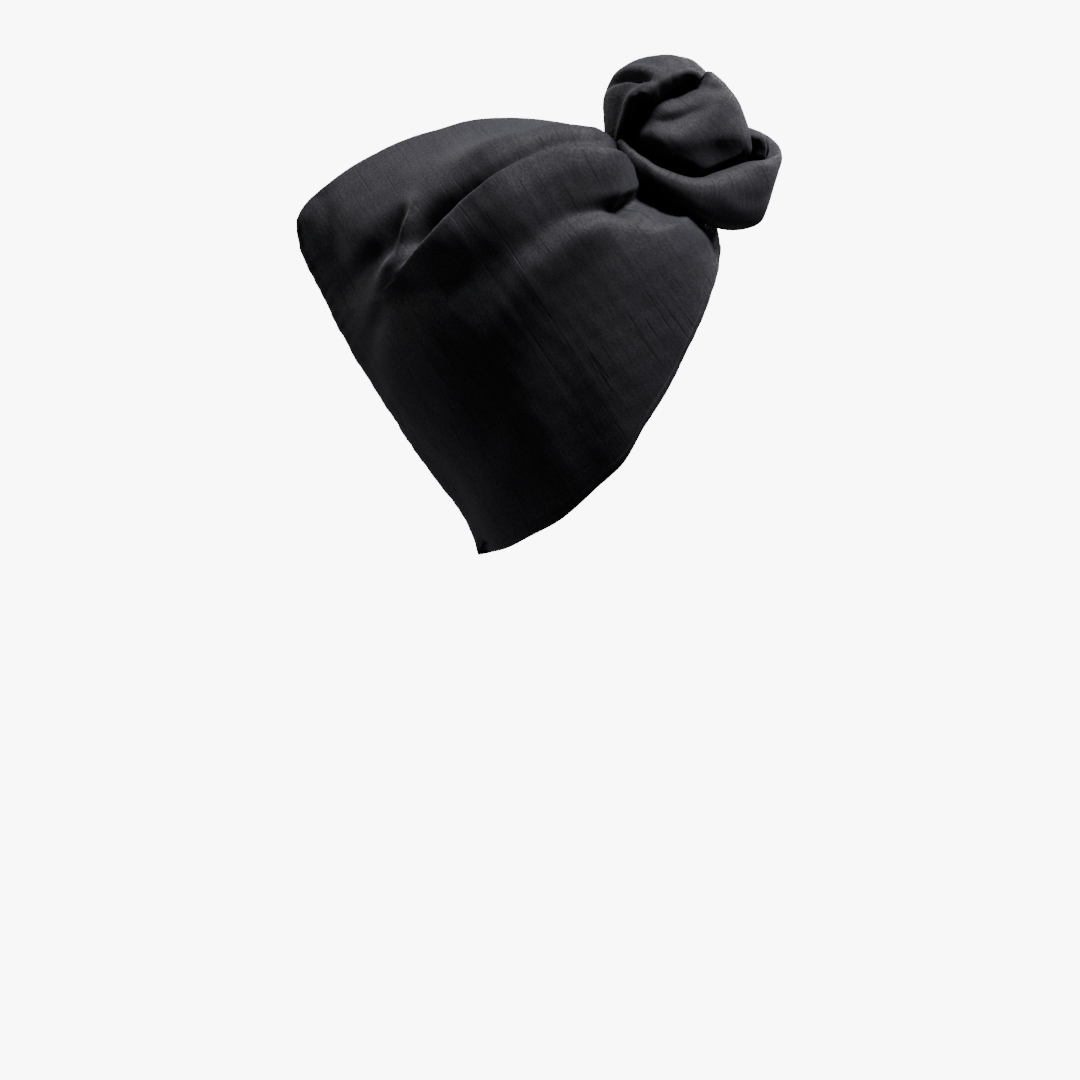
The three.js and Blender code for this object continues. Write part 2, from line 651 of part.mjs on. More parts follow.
// The gathered throat rises from the ring along the knot's axis
function addThroat(sheet, loop) {
  let previous = loop;
  const levels = [0.5, 1];
  for (const level of levels) {
    const ring = loop.map((id, k) => {
      const angle = (2 * Math.PI * k) / loop.length;
      const base = sheet.points[id];
      const outward = new THREE.Vector3().subVectors(base, throatCentre).setLength(1);
      const pleat = THROAT_PLEAT_DEPTH * level * Math.cos(THROAT_PLEATS * angle);
      const point = base.clone()
        .addScaledVector(knotAxis, THROAT_HEIGHT * level)
        .addScaledVector(outward, pleat);
      return sheet.addPoint(point);
    });
    for (let k = 0; k < loop.length; k += 1) {
      const next = (k + 1) % loop.length;
      sheet.quads.push([previous[k], previous[next], ring[next], ring[k]]);
    }
    previous = ring;
  }
  sheet.throat = previous;
}

function toGeometry(points, triangles) {
  const geometry = new THREE.BufferGeometry();
  geometry.setAttribute('position', new THREE.Float32BufferAttribute(points.flatMap((p) => p.toArray()), 3));
  geometry.setIndex(triangles.flat());
  geometry.computeVertexNormals();
  return geometry;
}

// Hollow bag with a wall of cloth, open along the face and at the throat
function hollowBag() {
  const { sheet, rim, throat } = bagSheet();
  const normals = sheet.normals();
  const count = sheet.points.length;
  const inner = sheet.points.map((p, k) => p.clone().addScaledVector(normals[k], -CLOTH_THICKNESS));
  const outer = sheet.triangles();
  const triangles = [...outer];
  for (const [a, b, c] of outer) {
    triangles.push([a + count, c + count, b + count]);
  }
  const close = (edge, forward) => {
    for (let k = 0; k < edge.length; k += 1) {
      const a = edge[k];
      const b = edge[(k + 1) % edge.length];
      const [p, q] = forward ? [a, b] : [b, a];
      triangles.push([p, q, q + count], [p, q + count, p + count]);
    }
  };
  close(rim, false);
  close(throat, true);
  return toGeometry([...sheet.points, ...inner], triangles);
}

// The bag as a full form grown by the clearance, which trims whatever lies on it
function grownBag(grow) {
  const { sheet, rim, throat } = bagSheet();
  const normals = sheet.normals();
  const points = sheet.points.map((p, k) => p.clone().addScaledVector(normals[k], grow));
  const triangles = sheet.triangles();
  const fan = (edge, forward) => {
    const centre = new THREE.Vector3();
    for (const id of edge) {
      centre.add(points[id]);
    }
    centre.divideScalar(edge.length);
    points.push(centre);
    const middle = points.length - 1;
    for (let k = 0; k < edge.length; k += 1) {
      const a = edge[k];
      const b = edge[(k + 1) % edge.length];
      triangles.push(forward ? [a, b, middle] : [b, a, middle]);
    }
  };
  fan(rim, false);
  fan(throat, true);
  return toManifold(points, triangles);
}

function toManifold(points, triangles) {
  const mesh = new wasm.Mesh({
    numProp: 3,
    vertProperties: new Float32Array(points.flatMap((p) => p.toArray())),
    triVerts: new Uint32Array(triangles.flat()),
  });
  return new wasm.Manifold(mesh);
}

// The largest body of a trimmed form as a geometry: crumbs that a cut leaves aside are dropped
function fromManifold(solid) {
  const bodies = solid.decompose();
  bodies.sort((a, b) => b.volume() - a.volume());
  const mesh = bodies[0].getMesh();
  const geometry = new THREE.BufferGeometry();
  geometry.setAttribute('position', new THREE.Float32BufferAttribute(Array.from(mesh.vertProperties), 3));
  geometry.setIndex(Array.from(mesh.triVerts));
  geometry.computeVertexNormals();
  return geometry;
}

// Place in the knot's own frame: u forward along its foot, y to the wearer's left, h up its axis
const knotCentre = new THREE.Vector3(KNOT_PLACE.x * CAP_LENGTH, 0, KNOT_PLACE.z * CAP_HEIGHT);

function knotDirection(u, y, h) {
  return new THREE.Vector3()
    .addScaledVector(knotFore, u)
    .addScaledVector(knotSide, y)
    .addScaledVector(knotAxis, h);
}

function knotPoint(u, y, h) {
  return knotCentre.clone().add(knotDirection(u * KNOT_REACH, y * KNOT_SPREAD, h * KNOT_HEIGHT));
}

// Closed body from rings of points with a pole at each end
function closedRings(rings, firstPole, lastPole) {
  const points = [firstPole, ...rings.flat(), lastPole];
  const sides = rings[0].length;
  const triangles = [];
  const id = (ring, side) => 1 + ring * sides + (side % sides);
  for (let s = 0; s < sides; s += 1) {
    triangles.push([0, id(0, s + 1), id(0, s)]);
    for (let r = 0; r < rings.length - 1; r += 1) {
      triangles.push([id(r, s), id(r, s + 1), id(r + 1, s + 1)]);
      triangles.push([id(r, s), id(r + 1, s + 1), id(r + 1, s)]);
    }
    triangles.push([points.length - 1, id(rings.length - 1, s), id(rings.length - 1, s + 1)]);
  }
  return { points, triangles };
}

// Band of wound cloth along a table of stations, with a rounded flat section that can be cupped
function woundBand(rows, halfWidth, halfThickness, farCurl, grow) {
  const steps = (rows.length - 1) * STEPS_PER_STATION;
  const rings = [];
  const centres = [];
  for (let k = 0; k <= steps; k += 1) {
    const place = k / STEPS_PER_STATION;
    centres.push(knotPoint(along(rows, 'u', place), along(rows, 'y', place), along(rows, 'h', place)));
  }
  for (let k = 0; k <= steps; k += 1) {
    const place = k / STEPS_PER_STATION;
    const tangent = centres[Math.min(k + 1, steps)].clone().sub(centres[Math.max(k - 1, 0)]).normalize();
    const low = rows[Math.min(Math.floor(place), rows.length - 1)].across;
    const high = rows[Math.min(Math.floor(place) + 1, rows.length - 1)].across;
    const mix = low.map((value, axis) => value + (high[axis] - value) * (place % 1));
    const across = knotDirection(...mix);
    across.addScaledVector(tangent, -across.dot(tangent)).normalize();
    const thin = new THREE.Vector3().crossVectors(tangent, across);
    const outward = centres[k].clone().sub(knotCentre);
    if (thin.dot(outward) < 0) {
      thin.negate();
    }
    const taper = Math.sin(Math.PI * Math.min(Math.max(k / steps, 0.12), 0.88)) ** 0.2;
    const wide = along(rows, 'wide', place) * halfWidth * taper + grow;
    const thick = along(rows, 'thick', place) * halfThickness * taper + grow;
    const cup = along(rows, 'cup', place) * halfThickness;
    const flip = new THREE.Vector3().crossVectors(across, thin).dot(tangent) < 0 ? -1 : 1;
    const end = k === 0 ? -grow : (k === steps ? grow : 0);
    const centre = centres[k].clone().addScaledVector(tangent, end);
    const ring = [];
    for (let s = 0; s < SECTION_SIDES; s += 1) {
      const angle = (flip * 2 * Math.PI * s) / SECTION_SIDES;
      const c = Math.sign(Math.cos(angle)) * Math.abs(Math.cos(angle)) ** 0.85;
      const n = Math.sign(Math.sin(angle)) * Math.abs(Math.sin(angle)) ** 0.85;
      ring.push(centre.clone()
        .addScaledVector(across, wide * c)
        .addScaledVector(thin, thick * n - cup * c * c * (c > 0 ? farCurl : 1)));
    }
    rings.push(ring);
  }
  const firstPole = middleOf(rings[0]);
  const lastPole = middleOf(rings[rings.length - 1]);
  const { points, triangles } = closedRings(rings, firstPole, lastPole);
  return toManifold(points, triangles);
}

function middleOf(ring) {
  const centre = new THREE.Vector3();
  for (const point of ring) {
    centre.add(point);
  }
  return centre.divideScalar(ring.length);
}

// Puffed dome of wound cloth, with its creases pressed in on the near side and mirrored lower on the far side
function woundDome(grow) {
  const steps = (DOME.length - 1) * STEPS_PER_STATION;
  const unit = { x: KNOT_REACH, z: KNOT_HEIGHT };
  const rings = [];
  for (let k = 0; k <= steps; k += 1) {
    const place = k / STEPS_PER_STATION;
    const h = along(DOME, 'h', place);
    const u = along(DOME, 'u', place);
    const long = along(DOME, 'long', place);
    const wide = along(DOME, 'wide', place);
    const ring = [];
    for (let s = 0; s < DOME_SIDES; s += 1) {
      const angle = (2 * Math.PI * s) / DOME_SIDES;
      const c = Math.cos(angle);
      const n = Math.sin(angle);
      const side = Math.abs(n) ** 0.5;
      const flat = { x: u + long * c, z: h };
      let press = 0;
      for (const crease of DOME_CREASES) {
        press += foldHeight(crease, flat, unit, KNOT_CREASE, KNOT_CREASE_SPREAD);
      }
      const grown = grow + press * side;
      const point = knotPoint(u + long * c, wide * n, h);
      point.add(knotDirection(c * grown, n * grown, 0));
      ring.push(point);
    }
    rings.push(ring);
  }
  const first = DOME[0];
  const last = DOME[DOME.length - 1];
  const foot = knotPoint(first.u, 0, first.h).addScaledVector(knotAxis, -grow);
  const top = knotPoint(last.u, 0, last.h).addScaledVector(knotAxis, grow + KNOT_HEIGHT * 0.03);
  const { points, triangles } = closedRings(rings, foot, top);
  return toManifold(points, triangles);
}

// Twisted core: the two tails drawn up through the throat into the dome
function twistedCore(grow) {
  const levels = 8;
  const rings = [];
  const bottom = 0.45 * THROAT_HEIGHT;
  for (let k = 0; k <= levels; k += 1) {
    const share = k / levels;
    const height = bottom - grow + (CORE_TOP - bottom + 2 * grow) * share;
    const ring = [];
    for (let s = 0; s < SECTION_SIDES; s += 1) {
      const angle = (2 * Math.PI * s) / SECTION_SIDES;
      const twist = Math.cos(2 * (angle - Math.PI * share));
      const radius = CORE_RADIUS * (1 - 0.25 * share) * (0.9 + 0.1 * twist) + grow;
      ring.push(throatCentre.clone()
        .addScaledVector(knotFore, radius * Math.cos(angle))
        .addScaledVector(knotSide, radius * Math.sin(angle))
        .addScaledVector(knotAxis, height));
    }
    rings.push(ring);
  }
  const { points, triangles } = closedRings(rings, middleOf(rings[0]), middleOf(rings[levels]));
  return toManifold(points, triangles);
}

function silk(colour) {
  return new THREE.MeshStandardMaterial({ color: colour, roughness: 0.55, metalness: 0 });
}

const headwrap = new THREE.Group();

function addPiece(name, geometry, colour) {
  const mesh = new THREE.Mesh(geometry, silk(colour));
  mesh.name = name;
  headwrap.add(mesh);
}

// Each piece of the knot is trimmed by the pieces that lie over it and by the bag below it
const frontBand = (grow) => woundBand(FRONT_BAND, BAND_WIDTH, BAND_THICKNESS, 1, grow);
const backLoop = (grow) => woundBand(BACK_LOOP, LOOP_WIDTH, LOOP_THICKNESS, LOOP_FAR_CURL, grow);
const tuck = (rows) => woundBand(rows, TUCK_WIDTH, TUCK_THICKNESS, 1, 0);

// Takes a neighbour's form and its clearance out of a solid
function trimmedBy(solid, form) {
  return solid.subtract(form(PIECE_GAP)).subtract(form(PIECE_GAP / 2)).subtract(form(0));
}

const trim = grownBag(PIECE_GAP);
const band = frontBand(0).subtract(trim);
const dome = trimmedBy(trimmedBy(woundDome(0).subtract(trim), frontBand), twistedCore);
const loop = trimmedBy(trimmedBy(backLoop(0).subtract(trim), frontBand), woundDome);
const innerTuckForm = trimmedBy(tuck(INNER_TUCK).subtract(trim), frontBand);
const innerTuck = trimmedBy(trimmedBy(innerTuckForm, woundDome), backLoop);
const lowerTuck = trimmedBy(trimmedBy(tuck(LOWER_TUCK).subtract(trim), frontBand), woundDome);

addPiece('cap', hollowBag(), 0x1d1d20);
addPiece('knot_core', fromManifold(twistedCore(0)), 0x18181b);
addPiece('knot_dome', fromManifold(dome), 0x202024);
addPiece('knot_back_loop', fromManifold(loop), 0x1f1f23);
addPiece('knot_front_band', fromManifold(band), 0x222226);
addPiece('knot_inner_tuck', fromManifold(innerTuck), 0x1c1c1f);
addPiece('knot_lower_tuck', fromManifold(lowerTuck), 0x1c1c1f);

export default headwrap;
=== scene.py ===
"""Turban headwrap: one strip of black dupioni silk worn over the crown and knotted above the brow.

Metres, +Z up. The wearer faces +X, the wearer's left side is +Y and the origin is the crown of the head.
The strip is folded over the crown and sewn up the back, and its two tails leave through a gathered throat
and are wound into a back loop, a puffed dome and a front band.
"""

import logging
from dataclasses import dataclass, field
from enum import Enum

import bpy
import numpy as np
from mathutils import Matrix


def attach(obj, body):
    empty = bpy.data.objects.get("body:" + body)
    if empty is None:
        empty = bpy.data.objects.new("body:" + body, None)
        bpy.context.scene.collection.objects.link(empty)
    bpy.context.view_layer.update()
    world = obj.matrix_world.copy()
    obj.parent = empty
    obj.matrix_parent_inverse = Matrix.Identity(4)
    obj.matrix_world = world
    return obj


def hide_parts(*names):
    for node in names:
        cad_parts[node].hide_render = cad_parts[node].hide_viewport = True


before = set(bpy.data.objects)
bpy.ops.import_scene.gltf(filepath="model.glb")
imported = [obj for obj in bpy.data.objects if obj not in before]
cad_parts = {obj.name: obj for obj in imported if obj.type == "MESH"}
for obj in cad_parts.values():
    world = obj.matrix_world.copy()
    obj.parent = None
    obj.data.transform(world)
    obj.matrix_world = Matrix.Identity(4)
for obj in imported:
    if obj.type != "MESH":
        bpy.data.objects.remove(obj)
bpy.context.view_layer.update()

Array = np.ndarray
Table = dict[str, Array]
Socket = bpy.types.NodeSocket
MM = 0.001
WEAVE_MAP = "weave"
BAG_LENGTH = 232.0  # the bag's side view, in millimetres
BAG_HEIGHT = 239.0
KNOT_TILT = float(np.radians(41.6))  # lean of the throat and the knot, forwards from upright
FOLD_COLUMNS = "x z rise upper lower"
FOLD_FALL = 1.6  # how fast a fold falls off beside its path
LIP_REACH = 3.0  # spread of a fold's lip, in millimetres
PLAIN = (1.0, 1.0)  # sizes for a path that is given in millimetres


class Held(Enum):
    """How a sheet of cloth is held."""

    STRETCHED = "stretched"
    FOLDED = "folded"
    GATHERED = "gathered"


class Side(Enum):
    """Side of the wearer that a surface lies on, as the sign of its depth."""

    RIGHT = -1
    LEFT = 1


# --- tables and curves ---------------------------------------------------------------------------------


def table(columns: str, *rows: tuple[float, ...]) -> Table:
    """Turns rows of numbers into named columns.

    Args:
        columns: The column names, parted by spaces.
        rows: The rows, each with one number for each column.

    Returns:
        One array for each name.
    """
    values = np.array(rows, dtype=float)
    return {name: values[:, k] for k, name in enumerate(columns.split())}


def fold_path(*rows: tuple[float, ...]) -> Table:
    """Table of a fold's path: its places, its rise and its spreads to both sides."""
    return table(FOLD_COLUMNS, *rows)


def places_along(rows: Table, steps: int) -> Array:
    """Even places from a table's first row to its last."""
    return np.linspace(0, len(next(iter(rows.values()))) - 1, steps + 1)


def along(values: Array, place: Array) -> Array:
    """Value of a column between its rows: a Catmull-Rom cubic through four rows, straight past the ends.

    Args:
        values: The column.
        place: Places counted in rows.

    Returns:
        The values at those places.
    """
    last = len(values) - 1
    longer = np.concatenate([[2 * values[0] - values[1]], values, [2 * values[-1] - values[-2]]])
    place = np.clip(place, 0, last)
    row = np.minimum(place.astype(int), last - 1)
    f = place - row
    a, b, c, d = (longer[row + k] for k in range(4))
    return 0.5 * (2 * b + (c - a) * f + (2 * a - 5 * b + 4 * c - d) * f**2 + (3 * b - a - 3 * c + d) * f**3)


def smooth(low: float, high: float, value: Array) -> Array:
    """Smooth step: 0 below low, 1 above high and 3f^2 - 2f^3 between them."""
    f = np.clip((value - low) / (high - low), 0, 1)
    return f * f * (3 - 2 * f)


def ripples(x: Array, y: Array, seed: int, wave: float, count: int = 7) -> Array:
    """Gentle uneven waves: seeded cosines laid over each other, in spread directions and lengths.

    Args:
        x: First place, in the unit of the wave.
        y: Second place.
        seed: Number that picks the waves.
        wave: Mean length of the waves.
        count: How many cosines are laid over each other.

    Returns:
        Heights between about -1 and 1.
    """
    dice = np.random.default_rng(seed)
    turn = dice.uniform(0, np.pi, count)
    length = wave * dice.uniform(0.65, 1.5, count)
    start = dice.uniform(0, 2 * np.pi, count)
    total = sum(
        np.cos(2 * np.pi * (x * np.cos(t) + y * np.sin(t)) / w + s) for t, w, s in zip(turn, length, start)
    )
    return total / np.sqrt(count)


def unit(vectors: Array) -> Array:
    """Vectors divided by their lengths."""
    return vectors / np.maximum(np.linalg.norm(vectors, axis=-1, keepdims=True), 1e-12)


def fold_height(
    path: Table, x: Array, z: Array, size: tuple[float, float] = PLAIN, crisp: float = 1.0
) -> tuple[Array, Array, Array]:
    """Height of a fold over its path: its rise times exp(-1.6 (distance / spread)^2).

    Args:
        path: Columns x, z, rise, upper and lower, where rise and the two spreads are in millimetres.
        x: Places in the side view, as shares of the first size.
        z: Places in the side view, as shares of the second size.
        size: The two sizes that the shares count in, in millimetres.
        crisp: Factor on the upper spread, below 1 for a sharper fold on that side.

    Returns:
        The heights, and the two parts of the direction to the upper side times a narrow bell on the crest.
    """
    ax, az = path["x"] * size[0], path["z"] * size[1]
    bx, bz = np.diff(ax), np.diff(az)
    px, pz = (x * size[0])[..., None] - ax[:-1], (z * size[1])[..., None] - az[:-1]
    f = np.clip((px * bx + pz * bz) / (bx * bx + bz * bz), 0, 1)
    ex, ez = px - f * bx, pz - f * bz
    reach = np.hypot(ex, ez)
    near = np.argmin(reach, axis=-1)

    def pick(values: Array) -> Array:
        """Values at the nearest stretch of the path."""
        return np.take_along_axis(values, near[..., None], axis=-1)[..., 0]

    distance, place = pick(reach), near + pick(f)
    upper = pick(ex * bz - ez * bx) > 0
    spread = np.where(upper, along(path["upper"], place) * crisp, along(path["lower"], place))
    rise = along(path["rise"], place)
    length = np.hypot(bx, bz)
    lip = np.exp(-((distance / LIP_REACH) ** 2)) * rise
    height = rise * np.exp(-FOLD_FALL * (distance / spread) ** 2)
    return height, lip * (bz / length)[near], lip * (-bx / length)[near]


# --- meshes --------------------------------------------------------------------------------------------


def grid_faces(ids: Array, around: bool = False) -> Array:
    """Four-cornered faces between neighbouring rows and columns of a grid of vertex numbers.

    Args:
        ids: Vertex numbers by row and column.
        around: True where the last column joins the first.

    Returns:
        The faces' corners, one face in each row.
    """
    if around:
        ids = np.concatenate([ids, ids[:, :1]], axis=1)
    return np.stack([ids[:-1, :-1], ids[:-1, 1:], ids[1:, 1:], ids[1:, :-1]], axis=-1).reshape(-1, 4)


def point_normals(points: Array, faces: Array) -> Array:
    """Unit normal of each vertex: the sum of the cross products of the diagonals of the faces round it."""
    cross = np.cross(points[faces[:, 2]] - points[faces[:, 0]], points[faces[:, 3]] - points[faces[:, 1]])
    sums = np.zeros_like(points)
    for corner in range(4):
        np.add.at(sums, faces[:, corner], cross)
    return unit(sums)


@dataclass
class Cloth:
    """Points, faces and weave places that make up one mesh."""

    points: list[Array] = field(default_factory=list)
    faces: list[Array] = field(default_factory=list)
    weave: list[Array] = field(default_factory=list)
    count: int = 0

    def add_points(self, points: Array) -> Array:
        """Adds points and returns their numbers in the same layout."""
        flat = points.reshape(-1, 3)
        numbers = np.arange(self.count, self.count + len(flat)).reshape(points.shape[:-1])
        self.points.append(flat)
        self.count += len(flat)
        return numbers

    def add_faces(self, faces: Array, weave: Array) -> None:
        """Adds faces with the weave place of each of their corners."""
        self.faces.append(faces)
        self.weave.append(weave.reshape(len(faces), faces.shape[1], 2))

    def add_sheet(self, outer: Array, inner: Array, weave: Array) -> None:
        """Adds a closed wall: an outer grid, an inner grid and the four edges that join them.

        Args:
            outer: Outer points by row and column, whose faces point outwards.
            inner: Inner points in the same layout.
            weave: Weave place of each point of the grid.
        """
        a, b = self.add_points(outer), self.add_points(inner)
        places = np.concatenate([weave.reshape(-1, 2)] * 2)
        first = int(a.flat[0])
        edge = [
            np.stack([a[:, 0], b[:, 0]]),
            np.stack([b[:, -1], a[:, -1]]),
            np.stack([b[0], a[0]]),
            np.stack([a[-1], b[-1]]),
        ]
        for faces in [grid_faces(a), grid_faces(b)[:, ::-1], *[grid_faces(strip) for strip in edge]]:
            self.add_faces(faces, places[faces - first])

    def add_fan(self, ring: Array, middle: Array, weave: Array, turned: bool) -> None:
        """Closes a ring by triangles to a new point.

        Args:
            ring: Vertex numbers of the ring.
            middle: The new point.
            weave: Weave place of each triangle.
            turned: True where the triangles face the other way.
        """
        pole = self.add_points(middle[None])
        fan = np.stack([ring, np.roll(ring, -1), np.full_like(ring, pole[0])], axis=-1)
        self.add_faces(fan[:, ::-1] if turned else fan, np.repeat(weave[:, None], 3, axis=1))

    def make(self, name: str, material: bpy.types.Material) -> bpy.types.Object:
        """Makes the mesh and its object at the origin.

        Args:
            name: Name of the piece.
            material: The cloth's finish.

        Returns:
            The new object, linked to the scene.
        """
        mesh = bpy.data.meshes.new(name)
        corners = np.concatenate([faces.reshape(-1) for faces in self.faces]).astype(np.int32)
        totals = np.concatenate([np.full(len(faces), faces.shape[1]) for faces in self.faces])
        starts = np.concatenate([[0], np.cumsum(totals)[:-1]]).astype(np.int32)
        places = np.concatenate([weave.reshape(-1) for weave in self.weave]) * MM
        mesh.vertices.add(self.count)
        mesh.vertices.foreach_set("co", (np.concatenate(self.points) * MM).astype(np.float32).reshape(-1))
        mesh.loops.add(len(corners))
        mesh.loops.foreach_set("vertex_index", corners)
        mesh.polygons.add(len(totals))
        mesh.polygons.foreach_set("loop_start", starts)
        mesh.polygons.foreach_set("use_smooth", np.ones(len(totals), dtype=bool))
        mesh.uv_layers.new(name=WEAVE_MAP).data.foreach_set("uv", places.astype(np.float32))
        mesh.update(calc_edges=True)
        mesh.validate()
        mesh.materials.append(material)
        piece = bpy.data.objects.new(name, mesh)
        bpy.context.scene.collection.objects.link(piece)
        return piece


# --- the silk ------------------------------------------------------------------------------------------


@dataclass
class Nodes:
    """A node tree, with short calls that add a node and fill its inputs."""

    tree: bpy.types.NodeTree

    def add(self, kind: str, inputs: dict[str | int, Socket | float | tuple[float, ...]]) -> bpy.types.Node:
        """Adds a node.

        Args:
            kind: Type of the node, without the part that all shader nodes share.
            inputs: For each input, the socket that is linked to it or its constant.

        Returns:
            The node.
        """
        node = self.tree.nodes.new(f"ShaderNode{kind}")
        for name, value in inputs.items():
            if isinstance(value, Socket):
                self.tree.links.new(value, node.inputs[name])
            else:
                node.inputs[name].default_value = value
        return node

    def math(self, way: str, *values: Socket | float) -> Socket:
        """Result of one operation, such as ADD, on sockets and constants."""
        node = self.add("Math", dict(enumerate(values)))
        node.operation = way
        return node.outputs["Value"]

    def mixed(self, first: Socket, first_share: float, second: Socket, second_share: float) -> Socket:
        """Sum of two values times their shares."""
        parts = self.math("MULTIPLY", first, first_share), self.math("MULTIPLY", second, second_share)
        return self.math("ADD", *parts)

    def ramp(self, value: Socket, low: float, high: float) -> Socket:
        """A value spread smoothly from 0 at low to 1 at high."""
        node = self.add("MapRange", {"Value": value, "From Min": low, "From Max": high})
        node.interpolation_type = "SMOOTHSTEP"
        return node.outputs["Result"]


@dataclass(frozen=True)
class Streak:
    """Noise drawn out along the weft: features to the metre along and across it, octaves and shift."""

    along: float
    across: float
    octaves: float
    shift: float = 0.0


@dataclass(frozen=True)
class DupioniSilk:
    """Black dupioni: a fine warp crossed by uneven weft yarns, with long slubs and a dry sheen.

    The weave map's first place runs along the weft in metres and its second across it.
    """

    name: str
    ground: tuple[float, float, float] = (0.0085, 0.0082, 0.0108)
    lit_yarn: tuple[float, float, float] = (0.0330, 0.0320, 0.0415)
    roughness: float = 0.60
    sheen: float = 0.07
    sheen_roughness: float = 0.45
    sheen_tint: tuple[float, float, float, float] = (0.86, 0.86, 1.0, 1.0)
    fibre_ior: float = 1.46
    gloss: float = 0.17
    yarn_pitch: float = 0.00042
    warp_pitch: float = 0.00026
    yarn_wander: float = 5.0
    relief_depth: float = 0.00016
    relief_strength: float = 0.55
    long_streak: Streak = Streak(9.0, 620.0, 3.0)
    fine_streak: Streak = Streak(28.0, 1500.0, 2.0)
    # slub lines: grooves in the bump, and painted shade that darkens the colour along them
    slub_line: Streak = Streak(22.0, 560.0, 1.0, 7.3)
    nub: Streak = Streak(620.0, 980.0, 2.0, 3.1)
    mottle: Streak = Streak(38.0, 38.0, 4.0)

    def material(self) -> bpy.types.Material:
        """Builds the procedural material.

        The colour mixes the ground with the lit yarn by streaks drawn out along the weft, and is darkened
        along the slub lines as painted shade of their grooves. The bump adds the weft ribs, the warp, the
        streaks and the nubs, and the slubs cut grooves into it.

        Returns:
            The material.
        """
        made = bpy.data.materials.new(self.name)
        made.use_nodes = True
        tree = made.node_tree
        tree.nodes.clear()
        nodes = Nodes(tree)
        shader = tree.nodes.new("ShaderNodeBsdfPrincipled")
        nodes.add("OutputMaterial", {"Surface": shader.outputs["BSDF"]})
        shader.inputs["Sheen Weight"].default_value = self.sheen
        shader.inputs["Sheen Roughness"].default_value = self.sheen_roughness
        shader.inputs["Sheen Tint"].default_value = self.sheen_tint
        shader.inputs["IOR"].default_value = self.fibre_ior
        shader.inputs["Specular IOR Level"].default_value = self.gloss

        weave = tree.nodes.new("ShaderNodeUVMap")
        weave.uv_map = WEAVE_MAP
        place = weave.outputs["UV"]
        noises = (self.long_streak, self.fine_streak, self.slub_line, self.nub, self.mottle)
        long_streak, fine_streak, slub_line, nub, mottle = (self.noise(nodes, place, row) for row in noises)

        # mask of the slub lines: a groove in the bump below, and painted shade of that groove in the colour
        slub_groove_and_shade = nodes.ramp(slub_line, 0.675, 0.71)
        streak = nodes.mixed(long_streak, 0.6, fine_streak, 0.4)
        tone, grain = nodes.ramp(streak, 0.30, 0.72), nodes.ramp(nub, 0.30, 0.72)
        cloud = nodes.ramp(mottle, 0.25, 0.80)
        level = nodes.mixed(tone, 0.45, grain, 0.65)
        level = nodes.math("MULTIPLY", level, nodes.math("MULTIPLY_ADD", cloud, 0.35, 0.65))
        # painted shade: the colour falls towards the ground along the slub lines, standing in for the shade
        # in their grooves
        level = nodes.math("MULTIPLY", level, nodes.math("MULTIPLY_ADD", slub_groove_and_shade, -0.95, 1.0))
        colour = tree.nodes.new("ShaderNodeMix")
        colour.data_type = "RGBA"
        colour.inputs["A"].default_value = (*self.ground, 1.0)
        colour.inputs["B"].default_value = (*self.lit_yarn, 1.0)
        tree.links.new(level, colour.inputs["Factor"])
        tree.links.new(colour.outputs["Result"], shader.inputs["Base Color"])
        rough = nodes.math("MULTIPLY_ADD", grain, -0.10, self.roughness + 0.05)
        tree.links.new(rough, shader.inputs["Roughness"])

        ribs = self.yarns(nodes, place, "Y", self.yarn_pitch, fine_streak)
        warps = self.yarns(nodes, place, "X", self.warp_pitch, fine_streak)
        relief = nodes.mixed(ribs, 0.55, warps, 0.22)
        relief = nodes.math("ADD", relief, nodes.mixed(streak, 0.5, nub, 0.9))
        relief = nodes.math("SUBTRACT", relief, nodes.math("MULTIPLY", slub_groove_and_shade, 1.8))
        settings = {"Strength": self.relief_strength, "Distance": self.relief_depth, "Height": relief}
        bump = nodes.add("Bump", settings)
        tree.links.new(bump.outputs["Normal"], shader.inputs["Normal"])
        return made

    def noise(self, nodes: Nodes, place: Socket, streak: Streak) -> Socket:
        """Value of one noise at a place of the weave map."""
        scale, shift = (streak.along, streak.across, 1.0), (streak.shift,) * 3
        drawn = nodes.add("Mapping", {"Vector": place, "Scale": scale, "Location": shift})
        inputs = {"Vector": drawn.outputs["Vector"], "Scale": 1.0, "Detail": streak.octaves}
        return nodes.add("TexNoise", inputs).outputs["Fac"]

    def yarns(self, nodes: Nodes, place: Socket, axis: str, pitch: float, uneven: Socket) -> Socket:
        """Rounded yarns side by side: half of 1 + sin of the place over the pitch, made uneven.

        Args:
            nodes: The material's nodes.
            place: Place of the weave map.
            axis: Axis of the weave map that the yarns are counted along.
            pitch: Distance between yarns in metres.
            uneven: Value that shifts each yarn.

        Returns:
            The yarns' height.
        """
        parts = nodes.add("SeparateXYZ", {"Vector": place})
        phase = nodes.mixed(parts.outputs[axis], 2 * np.pi / pitch, uneven, self.yarn_wander)
        return nodes.math("MULTIPLY_ADD", nodes.math("SINE", phase), 0.5, 0.5)


# --- the crown bag -------------------------------------------------------------------------------------

